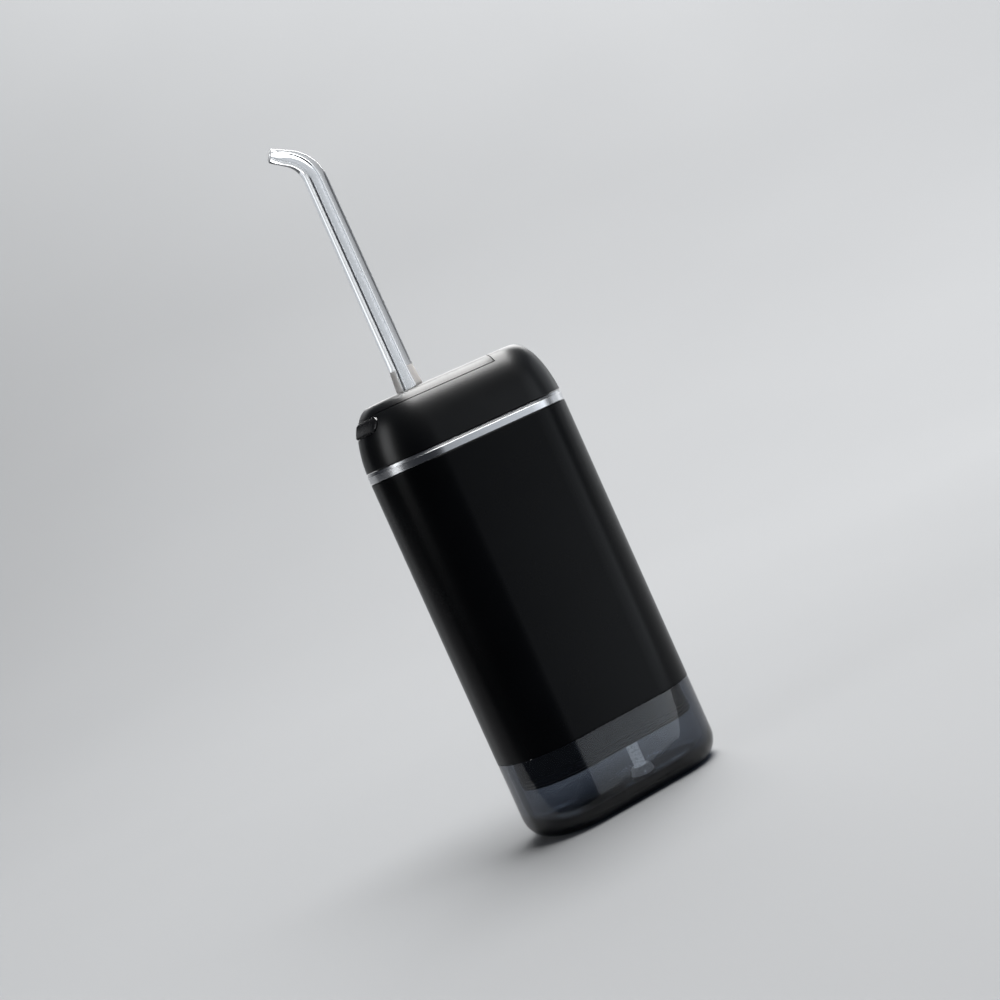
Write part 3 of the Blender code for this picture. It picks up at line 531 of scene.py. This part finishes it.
# ============================================================================
#  tank side
# ============================================================================
def build_tank():
    profile = []
    for k in range(13):
        t = math.radians(90.0 * k / 12)
        profile.append((FOOT_IN * (1 - math.sin(t)), FOOT_UP * (1 - math.cos(t))))
    profile += [(0.0, 7.6), (0.0, 12.0), (0.0, 18.0), (0.0, CLEAR_TOP - 0.12)]
    profile += top_round(CLEAR_TOP, r=0.05, steps=2)
    profile += [(TANK_STEP, CLEAR_TOP), (TANK_STEP, TANK_TOP - 0.3), (TANK_STEP + 0.3, TANK_TOP),
                (TANK_WALL, TANK_TOP), (TANK_WALL, 60.0), (TANK_WALL, 8.5)]
    for k in range(1, 10):
        t = math.radians(90.0 * k / 9)
        profile.append((TANK_WALL + TANK_FLOOR_R * (1 - math.cos(t)), 8.5 - 5.5 * math.sin(t)))
    tank = body_skin("clear_tank", profile, "clear_smoke", angle=40)
    opening = prism(grown(STEM_HALF, STEM_GAP), STEM_AT, (12.0, 19.0), "clear_smoke")
    carve(tank, opening, angle=40)
    seat = prism(grown(PLUG_HALF, PLUG_GAP), PLUG_AT, (15.7, 19.0), "clear_smoke", steps=14)
    carve(tank, seat, angle=40)
    settle(tank, "tank", "tank_shell")


def build_sleeve():
    profile = bottom_round(SLEEVE_Z0, r=0.08, steps=3)
    profile += [(0.0, z) for z in (24.15, 45.0, 66.0, 87.0, SLEEVE_Z1 - 0.35)]
    profile += top_round(SLEEVE_Z1, r=0.15, steps=3)
    profile += [(SLEEVE_WALL, SLEEVE_Z1), (SLEEVE_WALL, SLEEVE_Z0)]
    sleeve = body_skin("satin_sleeve", profile, "satin_black", closed=True)
    settle(sleeve, "tank", "outer_sleeve")


def build_collar():
    """Metal ring that leans in at its top. The faces where the lean begins take a darker copy of
    the metal: painted shade that dims the bright line they reflect.
    """
    lean_z = RING_Z1 - RING_LEAN
    profile = [(0.08, RING_Z0), (0.0, RING_Z0 + 0.08), (0.0, lean_z),
               (RING_LINE, lean_z + RING_LINE), (RING_CHAMFER - 0.02, RING_Z1 - 0.05),
               (RING_CHAMFER + 0.05, RING_Z1), (TANK_WALL, RING_Z1), (TANK_WALL, RING_Z0)]
    ring = body_skin("metal_collar", profile, "satin_metal", closed=True, angle=14)
    ring.data.materials.append(MATERIALS["bright_edge"])
    # painted shade: faces on the line get the darker metal
    for face in ring.data.polygons:
        from_line = abs(face.center.z / MM - (lean_z + RING_LINE / 2))
        if from_line < 0.02 and face.normal.z > 0.25:
            face.material_index = 1
    settle(ring, "tank", "collar_ring")


def build_mouth_seal():
    profile = [(1.3, 106.3), (1.3, 108.1), (2.5, 108.1), (2.75, 107.85), (2.85, 107.5),
               (2.75, 107.2), (2.5, 107.0), (2.5, 106.3)]
    seal = body_skin("wiper_lip", profile, "black_rubber", closed=True, angle=50)
    settle(seal, "tank", "mouth_seal")


def build_pickup():
    """Pipe down to the tank floor and the slotted filter at its foot."""
    profile = [(1.7, TUBE_Z0), (1.7, TUBE_Z1 - 0.3), (1.55, TUBE_Z1), (1.25, TUBE_Z1),
               (1.1, TUBE_Z1 - 0.3), (1.1, TUBE_Z0)]
    tube = lathe("pickup_pipe", profile, "clear_silicone", 32, TUBE_AT, closed=True)
    settle(tube, "tank", "pickup_tube")

    profile = [(3.1, 3.3), (3.4, 3.6), (3.4, 4.4), (3.2, 5.4), (2.9, 6.7), (2.6, 7.0),
               (2.0, 7.0), (2.0, 5.0), (1.0, 5.0), (1.0, 3.3)]
    foot = lathe("filter_foot", profile, "foot_white", 32, TUBE_AT, closed=True)
    for k in range(6):
        turn = Matrix.Rotation(math.radians(60 * k + 15), 4, 'Z')
        slot = box((2.2, -0.3, 3.8), (4.2, 0.3, 5.4), "foot_white")
        slot.data.transform(Matrix.Translation(Vector((*TUBE_AT, 0)) * MM) @ turn)
        carve(foot, slot)
    settle(foot, "tank", "pickup_filter")


def build_fill_plug():
    layers = ((0.25, 16.0), (0.0, 16.2), (0.0, 16.75), (0.08, 16.9), (0.3, 17.0))
    plug = slab("soft_plug", PLUG_HALF, PLUG_AT, layers, "black_rubber", steps=14)
    layers = ((0.3, 14.0), (0.0, 14.4), (0.0, 15.2), (0.0, 16.4))
    carve(plug, slab("stem", STEM_HALF, STEM_AT, layers, "black_rubber"), 'UNION')
    layers = ((0.2, 16.45), (0.0, 16.6), (0.0, 18.0))
    carve(plug, slab("notch", (2.6, 0.7), (0.0, 17.4), layers, "black_rubber", steps=8))
    settle(plug, "plug", "fill_plug")


# ============================================================================
#  pump module: casing, head, cover
# ============================================================================
def build_casing():
    inner = CASE_IN + CASE_WALL
    profile = [(CASE_IN + 0.2, CASE_Z0), (CASE_IN, CASE_Z0 + 0.2), (CASE_IN, 50.0),
               (CASE_IN, 80.0), (CASE_IN, 111.5), (2.3, 111.7), (2.3, CASE_Z1),
               (7.4, CASE_Z1), (7.4, 111.6), (inner, 111.6), (inner, CASE_Z0)]
    casing = body_skin("module_casing", profile, "inner_black", closed=True)
    for post in POSTS:
        carve(casing, pin(POST_HOLE_R, 110.0, 114.0, post, "inner_black"))
    settle(casing, "module", "inner_casing")


def build_module_floor():
    profile = [(4.2, FLOOR_Z0), (3.6, FLOOR_Z0 + 0.04), (3.25, FLOOR_Z0 + 0.2),
               (3.1, FLOOR_Z0 + 0.5), (3.1, 15.6), (5.0, 15.6), (5.0, 17.0), (4.9, 17.4),
               (4.9, 20.2)]
    floor = body_skin("module_floor", profile, "inner_black")
    # clearance for the pickup pipe, wider above
    for r, z0 in ((2.05, 10.0), (4.4, 16.9)):
        carve(floor, pin(r, z0, 30.0, TUBE_AT, "inner_black", count=32))
    settle(floor, "module", "casing_floor")

    profile = [(2.9, 15.9), (2.8, 16.0), (2.8, 16.35), (2.95, 16.5), (3.1, 16.6), (2.95, 16.7),
               (2.8, 16.85), (2.8, 17.2), (2.9, 17.3), (4.7, 17.3), (4.7, 15.9)]
    seal = body_skin("wiper_ring", profile, "black_rubber", closed=True, angle=50)
    settle(seal, "module", "piston_seal")


# place along one rib pitch, height as a part of the rib depth
RIB_PROFILE = ((0.0, 0.0), (0.10, 0.05), (0.20, 0.45), (0.32, 0.9), (0.45, 1.0), (0.58, 0.9),
               (0.70, 0.45), (0.80, 0.05))


def bar_stations(half, ribs):
    """Stations across the release bar: (y, half height, rib height)."""
    straight = half[0] - half[1]
    angles = [math.radians(90.0 * i / 10) for i in range(10)]
    rounded = [(straight + half[1] * math.cos(t), half[1] * math.sin(t)) for t in angles]
    stations = [(-y, h, 0.0) for y, h in rounded]
    if ribs:
        pitch = 2 * straight / ribs
        stations += [(-straight + k * pitch + place * pitch, half[1], rib)
                     for k in range(ribs) for place, rib in RIB_PROFILE]
        stations.append((straight, half[1], 0.0))
    else:
        stations += [(-straight + 2 * straight * k / 24, half[1], 0.0) for k in range(25)]
    return stations + [(y, h, 0.0) for y, h in reversed(rounded)]


def end_x(y, offset):
    """x of the body's rounded -X end at y."""
    r = PLAN_R - offset
    dy = max(0.0, abs(y) - PLAN_CY)
    return -PLAN_CX - math.sqrt(max(0.0, r * r - dy * dy))


def end_bar(name, half, proud, x_inner, material, ribs=0, rim=0.0, angle=32.0):
    """Bar that follows the -X end and leans with the shoulder.

    proud is how far it stands out; ribs run up and down it; rim is the radius rolled over
    its edge.
    """
    steps = [-1.0 + 2.0 * k / 8 for k in range(9)] if rim else [-1.0, 0.0, 1.0]
    loops = []
    for y, h, rib in bar_stations(half, ribs):
        h = max(h, 0.32)
        lift = proud - RIB_DEEP + RIB_DEEP * rib if ribs else proud
        loop = []
        for step in steps:
            sink = 0.0
            if rim:
                to_edge = (1.0 - abs(step)) * h
                if h < half[1]:
                    to_edge = min(to_edge, half[0] - abs(y))
                c = 1.0 - min(to_edge / rim, 1.0)
                sink = rim * (1.0 - math.sqrt(max(0.0, 1.0 - c ** 2)))
            z = RELEASE_Z + step * h
            loop.append((end_x(y, shoulder_offset(z)) - lift + sink, y, z))
        loops.append(loop + [(x_inner, y, RELEASE_Z + h), (x_inner, y, RELEASE_Z - h)])
    return skin(name, loops, material, angle=angle)


def head_solid():
    """Hollow head; its levels crowd toward the top, where the shoulder turns fastest."""
    z0, z1 = HEAD_Z0 + 0.15, BODY_TOP - 0.02
    heights = [z0 + (z1 - z0) * math.sin(k / 30 * math.pi / 2) ** 0.9 for k in range(31)]
    profile = [(0.15 + shoulder_offset(HEAD_Z0), HEAD_Z0)]
    profile += [(shoulder_offset(z), z) for z in heights]
    profile += [(inset, BODY_TOP) for inset in TOP_INSETS]
    head = body_skin("head_body", profile, "head_black", angle=30)

    z0, z1 = 112.0, BODY_TOP - HEAD_WALL
    heights = [HEAD_Z0 - 1.0] + [z0 + k * (z1 - z0) / 14 for k in range(15)]
    cavity = [(HEAD_WALL + shoulder_offset(min(z + 1.2, BODY_TOP)), z) for z in heights]
    carve(head, body_skin("cavity", cavity, "head_black"))
    return head


def build_head():
    material = "head_black"
    head = head_solid()
    # recess for the cover, then the openings for the controls
    carve(head, box((-40, -30, SEAM_Z), (SEAM_X, 30, 140), material))
    carve(head, end_bar("recess", grown(RELEASE_HALF, RELEASE_GAP), 4.0, -21.5, material))
    carve(head, prism(grown(POWER_HALF, POWER_GAP), POWER_AT, WALL_CUT, material))
    carve(head, lathe("lamp_hole", [(LAMP_HOLE_R, y) for y in WALL_CUT], material, 24,
                      matrix=LAMP_POSE))
    carve(head, prism((4.7, 2.1), (FLAP_X, 117.3), WALL_CUT, material))
    carve(head, prism(grown(FLAP_HALF, FLAP_GAP), FLAP_AT, (15.0, 22.0), material,
                      r=0.9, steps=6))
    # posts, each on a web that runs out to the wall
    for x, y in POSTS:
        y_wall = y + math.copysign(WEB_REACH, y)
        web = box((x - WEB_HALF, min(y, y_wall), WEB_Z0), (x + WEB_HALF, max(y, y_wall), WEB_Z1),
                  material)
        carve(web, pin(POST_R, WEB_Z0 - 0.05, WEB_Z1 + 0.05, (x, y), material), 'UNION')
        carve(head, web, 'UNION')
        carve(head, pin(POST_HOLE_R, 112.5, 117.0, (x, y), material))
    settle(head, "module", "head_shell")


def cover_loop(offset, z, pull):
    """Cover outline: body outline on -X, straight edge at +X drawn back by pull."""
    half = BODY_DEPTH / 2 - offset
    r = PLAN_R - offset
    x_edge = SEAM_X - COVER_GAP_X - pull
    x_side = x_edge - 0.25
    side = [x_side + (-PLAN_CX - x_side) * k / 6 for k in range(1, 6)]
    points = [(x_edge, -half + 0.25), (x_edge, half - 0.25), (x_edge - 0.07, half - 0.07),
              (x_side, half)]
    points += [(x, half) for x in side]
    points += quarter_arc(-PLAN_CX, PLAN_CY, r, 90, PLAN_STEPS)
    points += quarter_arc(-PLAN_CX, -PLAN_CY, r, 180, PLAN_STEPS)
    # this side is spaced the other way: its points run from the arc back to the edge
    points += [(-PLAN_CX + (x_side + PLAN_CX) * k / 6, -half) for k in range(1, 6)]
    points += [(x_side, -half), (x_edge - 0.07, -half + 0.07)]
    return [(x, y, z) for x, y in points]


def build_cover():
    """Top cover: same outer surface as the head, with softly broken edges at its seams."""
    z0 = SEAM_Z + COVER_GAP_Z
    rise = BODY_TOP - 0.02 - z0 - 0.10
    loops = [cover_loop(shoulder_offset(z0) + 0.10, z0, 0.0)]
    for k in range(17):
        z = z0 + 0.10 + rise * math.sin(k / 16 * math.pi / 2)
        pull = 0.12 * max(0.0, z - (BODY_TOP - 0.15)) / 0.13
        loops.append(cover_loop(shoulder_offset(z), z, pull))
    loops += [cover_loop(inset, BODY_TOP, pull) for inset, pull in zip(TOP_INSETS, (0.16, 1.0))]
    cover = skin("cover_panel", loops, "head_black", angle=30)
    hole = [(4.0, 120.0), (4.0, 127.78), (4.05, 127.92), (4.19, 128.02), (4.19, 130.0)]
    carve(cover, lathe("hole", hole, "head_black", centre=(NOZZLE_X, 0.0)), angle=30)
    settle(cover, "module", "top_cover")


def build_release():
    """Ribbed bar with a flat yoke that reaches round the nozzle."""
    material = "button_black"
    release = end_bar("ribbed_release", RELEASE_HALF, 0.5, -25.2, material,
                      ribs=RIB_COUNT, rim=0.5, angle=40)
    yoke = box((-25.6, -4.6, RELEASE_Z - 0.5), (-2.6, 4.6, RELEASE_Z + 0.5), material)
    outline = stadium((4.9, 3.2), (NOZZLE_X - 0.6, 0.0))
    hole = skin("hole", [[(x, y, z) for x, y in outline] for z in (120.0, 126.0)], material)
    carve(yoke, hole)
    carve(release, yoke, 'UNION', angle=50)
    settle(release, "release", "release_button")


# ============================================================================
#  controls on the +Y face
# ============================================================================
def build_power_key():
    layers = ((0.0, 12.4), (0.0, 16.2), (0.08, 16.45), (0.28, 16.62), (0.6, 16.7),
              (1.2, 16.62), (1.8, 16.58))
    key = slab("power_key", POWER_HALF, POWER_AT, layers, "button_black", steps=16, angle=50)
    flange = prism((5.6, 3.0), POWER_AT, (11.9, 12.7), "button_black", steps=16)
    carve(key, flange, 'UNION', angle=50)
    settle(key, "power", "power_button")


def build_flap():
    layers = ((0.1, 15.3), (0.0, 15.4), (0.0, 16.25), (0.1, 16.45), (0.35, 16.6))
    flap = slab("charge_flap", FLAP_HALF, FLAP_AT, layers, "black_rubber",
                r=0.75, steps=6, angle=50)
    layers = ((0.2, 14.3), (0.0, 14.5), (0.0, 15.8))
    carve(flap, slab("boss", (4.0, 1.1), FLAP_AT, layers, "black_rubber"), 'UNION', angle=50)
    layers = ((0.15, 16.15), (0.0, 16.3), (0.0, 18.0))
    carve(flap, slab("groove", (2.2, 0.45), (FLAP_X, 119.0), layers, "black_rubber", steps=8),
          angle=50)
    settle(flap, "flap", "port_flap")


def build_lamp():
    profile = [(LAMP_R, 9.9), (LAMP_R, 16.05), (0.9, 16.2), (0.6, 16.28), (0.25, 16.3)]
    lamp = lathe("lamp_guide", profile, "light_diffuser", 32, matrix=LAMP_POSE)
    settle(lamp, "module", "light_pipe")


def build_socket():
    half, centre = (4.3, 1.6), (FLAP_X, 117.2)
    layers = ((0.0, 9.9), (0.0, 13.8), (0.08, 13.9))
    socket = slab("charge_socket", half, centre, layers, "bright_steel")
    carve(socket, prism(grown(half, -0.35), centre, (11.0, 16.0), "bright_steel"))
    settle(socket, "module", "usb_socket")


# ============================================================================
#  nozzle
# ============================================================================
ACROSS = Vector((0, 1, 0))

# (radius, z) up the outside of the foot, and down the bore inside it
NOZZLE_FOOT = ((1.3, 113.2), (2.45, 113.2), (2.6, 113.4), (2.6, 116.4), (1.95, 116.6),
               (1.95, 118.4), (2.6, 118.6), (2.6, 121.9), (2.2, 122.1), (2.2, 123.7),
               (2.6, 123.9), (2.6, 126.6), (3.65, 127.0), (3.8, 127.15), (3.8, 128.0),
               (3.72, 128.2))
NOZZLE_FOOT_BORE = ((1.42, 127.6), (1.42, 126.8), (1.35, 125.4), (1.3, 124.6))

# part of the tip length, outer radius, bore radius
NOZZLE_TIP = ((0.25, 2.2, 1.15), (0.5, 2.12, 1.0), (0.75, 2.04, 0.75), (0.93, 1.97, 0.45),
              (0.985, 1.86, 0.45), (1.0, 1.72, 0.47))


def nozzle_stations():
    """(centre, outer radius, bore radius) from the flare up to the tip."""
    stations = []
    for z in (128.6, 129.2, 130.0, 131.2, 132.4, 133.4, 134.2, 135.0):
        flare = max(0.0, min(1.0, (134.6 - z) / 6.0))
        stations.append((Vector((NOZZLE_X, 0, z)), NOZZLE_R0 - 0.03 + 0.50 * flare,
                         BORE_R + 0.25 * flare))
    for k in range(1, 12):
        z = 135.0 + (TAPER_Z1 - 135.0) * k / 11
        r = NOZZLE_R0 + (NOZZLE_R1 - NOZZLE_R0) * (z - TAPER_Z0) / (TAPER_Z1 - TAPER_Z0)
        stations.append((Vector((NOZZLE_X, 0, z)), r, BORE_R))
    for k in range(1, BEND_STEPS + 1):
        part = k / BEND_STEPS
        angle = BEND_ANGLE * k / BEND_STEPS
        x = NOZZLE_X - BEND_R * (1 - math.cos(angle))
        z = TAPER_Z1 + BEND_R * math.sin(angle)
        r = NOZZLE_R1 + (BEND_END_R - NOZZLE_R1) * (part ** 1.15)
        stations.append((Vector((x, 0, z)), r, BORE_R))
    x, _, z = stations[-1][0]
    for part, outer, bore in NOZZLE_TIP:
        reach = TIP_LENGTH * part
        centre = Vector((x - reach * math.sin(BEND_ANGLE), 0, z + reach * math.cos(BEND_ANGLE)))
        stations.append((centre, outer, bore))
    return stations


def rings(path, radii):
    """Rings square to the path."""
    result = []
    for i, (centre, r) in enumerate(zip(path, radii)):
        along = (path[min(i + 1, len(path) - 1)] - path[max(i - 1, 0)]).normalized()
        normal = ACROSS.cross(along).normalized()
        angles = [2 * math.pi * k / NOZZLE_SIDES for k in range(NOZZLE_SIDES)]
        result.append([tuple(centre + normal * (r * math.cos(t)) + ACROSS * (r * math.sin(t)))
                       for t in angles])
    return result


def build_nozzle():
    path, outer, bore = zip(*nozzle_stations())
    foot, foot_bore = ([circle(r, z, NOZZLE_SIDES, (NOZZLE_X, 0.0)) for r, z in table]
                       for table in (NOZZLE_FOOT, NOZZLE_FOOT_BORE))
    loops = foot + rings(path, outer) + rings(path, bore)[::-1] + foot_bore
    nozzle = skin("jet_nozzle", loops, "clear_nozzle", closed=True, angle=38)
    # frosted outside at the foot, milky on the end face
    nozzle.data.materials.append(MATERIALS["frosted_nozzle"])
    nozzle.data.materials.append(MATERIALS["frosted_tip"])
    tip = path[-1]
    aim = (path[-1] - path[-2]).normalized()
    for face in nozzle.data.polygons:
        c = face.center / MM
        if c.z < 134.3 and (c.x - NOZZLE_X) ** 2 + c.y ** 2 > 2.5 ** 2:
            face.material_index = 1
        elif (c - tip).length < 1.9 and face.normal.dot(aim) > 0.85:
            face.material_index = 2
    settle(nozzle, "jet", "nozzle")


def build_oring():
    angles = [2 * math.pi * k / 12 for k in range(12)]
    section = [(2.65 + 0.40 * math.cos(t), 117.5 + 0.6 * math.sin(t)) for t in angles]
    oring = lathe("jet_oring", section, "black_rubber", 40, (NOZZLE_X, 0.0), closed=True,
                  angle=80)
    settle(oring, "jet", "nozzle_oring")


for build in (build_tank, build_sleeve, build_collar, build_mouth_seal, build_pickup,
              build_fill_plug, build_casing, build_module_floor, build_head, build_cover,
              build_release, build_power_key, build_flap, build_lamp, build_socket,
              build_nozzle, build_oring):
    build()


def dress_cad():
    """The CAD pieces take the finish of their slot, and soft edges where they are shown."""
    slot_of = {part["node"]: part["material_slot"] for part in frame["record"]["subparts"]}
    for node, ob in frame["nodes"].items():
        slot = slot_of.get(node)
        if slot not in MATERIALS:
            continue
        ob.data.materials.clear()
        ob.data.materials.append(MATERIALS[slot])
        if not ob.hide_render:
            bevel = ob.modifiers.new("edge", 'BEVEL')
            bevel.width = 0.12 * MM
            bevel.segments = 2
            bevel.limit_method = 'ANGLE'
            bevel.angle_limit = math.radians(50)


dress_cad()

# ============================================================================
#  stage, in metres
# ============================================================================
CAMERA_YAW, CAMERA_PITCH, CAMERA_ROLL = 0.397945, 0.047768, 0.422172
CAMERA_AT = (-0.202365, -0.484799, 0.115002)
FLOOR_FRONT, FLOOR_BACK = -0.045, 0.35
COVE_R, COVE_DEGREES, COVE_STEPS = 1.35, 78.0, 24
FLOOR_HALF, SURROUND_HALF = 1.15, 5.0


def floor_material():
    """Pale matt floor whose colour is painted lighter with height: painted light that keeps the
    rising cove pale.
    """
    f = Finish("pale_floor")
    drift = f.noise(3.0)
    height = f.node("SeparateXYZ", {0: f.place}).outputs["Z"]
    # painted light: the colour is raised with height up the cove
    lift = f.map_range(height, from_min=0.05, from_max=1.50, to_min=0.58, to_max=1.10,
                       curve='SMOOTHSTEP')
    color = f.blend(drift, dark=(0.335, 0.343, 0.353), light=(0.350, 0.358, 0.368))
    tone = f.node("VectorMath", {0: color, "Scale": lift}, operation='SCALE')
    f.put(color=tone.outputs["Vector"], rough=0.9, spec=0.1)
    return f.material


def surround_material(floor):
    """The same floor, fading to the plain background tone with distance."""
    material = floor.copy()
    material.name = "pale_surround"
    g = Graph(material.node_tree)
    place = g.node("NewGeometry").outputs["Position"]
    away = g.node("VectorMath", {0: place}, operation='LENGTH').outputs["Value"]
    fade = g.map_range(away, from_min=0.35, from_max=1.60, curve='SMOOTHSTEP')
    shader = g.tree.nodes["Principled BSDF"].outputs[0]
    clear = g.node("BsdfTransparent").outputs[0]
    mix = g.node("MixShader", {0: fade, 1: shader, 2: clear})
    g.feed(g.tree.nodes["Material Output"].inputs["Surface"], mix.outputs[0])
    return material


def stage_sheet(name, profile, x0, x1, material, camera_only=True):
    """Sheet laid along the camera's heading; profile is (distance, height)."""
    cos, sin = math.cos(-CAMERA_YAW), math.sin(-CAMERA_YAW)
    bm = bmesh.new()
    rows = [[bm.verts.new((x * cos - y * sin, x * sin + y * cos, z)) for x in (x0, x1)]
            for y, z in profile]
    for a, b in zip(rows, rows[1:]):
        bm.faces.new((a[0], a[1], b[1], b[0]))
    mesh = bpy.data.meshes.new(name)
    bm.to_mesh(mesh)
    bm.free()
    mesh.shade_smooth()
    mesh.materials.append(material)
    ob = bpy.data.objects.new(name, mesh)
    bpy.context.scene.collection.objects.link(ob)
    if camera_only:
        ob.visible_diffuse = False
        ob.visible_glossy = False
        ob.visible_transmission = False
        ob.visible_shadow = False


def build_stage():
    angles = [math.radians(COVE_DEGREES * k / COVE_STEPS) for k in range(1, COVE_STEPS + 1)]
    cove = [(FLOOR_BACK + COVE_R * math.sin(t), COVE_R * (1 - math.cos(t))) for t in angles]
    rear = [(FLOOR_FRONT, 0.0), (0.0, 0.0), (FLOOR_BACK, 0.0), *cove, (1.85, 1.75), (1.95, 2.22)]
    front = [(-5.0, 0.0), (-1.0, 0.0), (-0.3, 0.0), (FLOOR_FRONT, 0.0)]
    pale = floor_material()
    around = surround_material(pale)
    stage_sheet("floor", rear, -FLOOR_HALF, FLOOR_HALF, pale, camera_only=False)
    # seen only by the camera, so that other viewpoints also stand on a plain floor
    stage_sheet("floor_front", front, -SURROUND_HALF, SURROUND_HALF, around)
    stage_sheet("floor_left", rear, -SURROUND_HALF, -FLOOR_HALF, around)
    stage_sheet("floor_right", rear, FLOOR_HALF, SURROUND_HALF, around)


def area(name, place, target, width, height, power, color):
    light = bpy.data.lights.new(name, 'AREA')
    light.shape = 'RECTANGLE'
    light.size = width
    light.size_y = height
    light.energy = power
    light.color = color
    ob = bpy.data.objects.new(name, light)
    bpy.context.scene.collection.objects.link(ob)
    ob.location = place
    ob.rotation_euler = (Vector(target) - Vector(place)).to_track_quat('-Z', 'Y').to_euler()
    ob.visible_camera = False
    return light


def grade(light, low, high, axis, stops):
    """Makes a panel's brightness vary up its height and along its width.

    low and high are (height, strength); axis is the width direction; stops are
    (place from 0 to 1, strength) along it.
    """
    light.use_nodes = True
    g = Graph(light.node_tree)
    place = g.node("NewGeometry").outputs["Position"]
    top = max(strength for _, strength in stops)
    across = g.map_range(g.dot(place, axis), -light.size / 2, light.size / 2)
    node = g.node("ValToRGB", {"Fac": across})
    ramp = node.color_ramp
    ramp.interpolation = 'EASE'
    while len(ramp.elements) < len(stops):
        ramp.elements.new(0.5)
    for element, (position, strength) in zip(ramp.elements, stops):
        part = strength / top
        element.position = position
        element.color = (part, part, part, 1.0)
    upward = g.map_range(g.dot(place, (0.0, 0.0, 1.0)), from_min=low[0], from_max=high[0],
                         to_min=low[1] * top, to_max=high[1] * top)
    strength = g.math('MULTIPLY', node.outputs["Color"], upward)
    g.feed(g.tree.nodes["Emission"].inputs["Strength"], strength)


def build_lights():
    """A large overhead panel does the key and the floor; the others shape the edges."""
    area("overhead", place=(0.88, -0.08, 2.40), target=(0.88, -0.08, 0.0),
         width=1.40, height=2.6, power=215.0, color=(1.0, 0.995, 0.985))
    key_back = area("key_back", place=(0.50, 0.82, 0.74), target=(0.0, 0.0, 0.11),
                    width=0.80, height=0.75, power=2.8, color=(1.0, 0.995, 0.985))
    key_back.spread = math.radians(110)
    front = area("front_panel", place=(0.769, -0.961, 0.12), target=(0.0, 0.0, 0.12),
                 width=1.10, height=1.0, power=2.2, color=(0.90, 0.95, 1.0))
    grade(front, low=(-0.22, 1.75), high=(0.13, 0.55), axis=(0.781, 0.625, 0.0),
          stops=((0.0, 0.0), (0.14, 0.95), (0.21, 1.15), (0.30, 1.9), (0.62, 2.1),
                 (0.86, 3.6), (1.0, 0.0)))
    area("side_panel", place=(1.083, 0.19, 0.10), target=(0.0, 0.0, 0.10),
         width=0.90, height=0.9, power=1.6, color=(0.93, 0.965, 1.0))
    area("end_panel", place=(-0.95, -0.06, 0.42), target=(0.0, 0.0, 0.10),
         width=0.38, height=0.60, power=2.5, color=(0.97, 0.985, 1.0))


def build_world():
    """Near-black surroundings, but pale to the camera.

    Rays through clear pieces that turn back toward the camera's side also find it pale.
    """
    world = bpy.data.worlds.new("studio")
    bpy.context.scene.world = world
    world.use_nodes = True
    g = Graph(world.node_tree)
    background = g.tree.nodes["Background"]
    path = g.node("LightPath").outputs
    direction = g.node("TexCoord").outputs["Generated"]
    heading = g.dot(direction, (0.387, 0.921, 0.0))
    behind = g.map_range(heading, from_min=0.05, from_max=-0.35)
    seen = g.math('MULTIPLY', behind, path["Is Transmission Ray"])
    pale = g.math('MAXIMUM', path["Is Camera Ray"], seen)
    color = g.mix_rgb(pale, (0.020, 0.022, 0.027), (0.60, 0.61, 0.63))
    g.feed(background.inputs["Color"], color)
    background.inputs["Strength"].default_value = 1.0


def build_camera():
    """Camera on the -X -Y side, looking slightly down and rolled."""
    camera = bpy.data.cameras.new("camera")
    camera.lens = 68.23
    camera.sensor_width = 36.0
    camera.clip_start = 0.01
    ob = bpy.data.objects.new("camera", camera)
    bpy.context.scene.collection.objects.link(ob)
    yaw, pitch, roll = CAMERA_YAW, CAMERA_PITCH, CAMERA_ROLL
    forward = Vector((math.sin(yaw) * math.cos(pitch), math.cos(yaw) * math.cos(pitch),
                      -math.sin(pitch)))
    right = Vector((math.cos(yaw), -math.sin(yaw), 0.0))
    up = right.cross(forward)
    rolled_right = right * math.cos(roll) - up * math.sin(roll)
    rolled_up = right * math.sin(roll) + up * math.cos(roll)
    pose = Matrix.Identity(4)
    for i in range(3):
        pose[i][0], pose[i][1], pose[i][2] = rolled_right[i], rolled_up[i], -forward[i]
    pose.translation = Vector(CAMERA_AT)
    ob.matrix_world = pose
    bpy.context.scene.camera = ob


build_stage()
build_lights()
build_world()
build_camera()
bpy.context.scene.view_settings.view_transform = 'Standard'

bpy.context.view_layer.update()
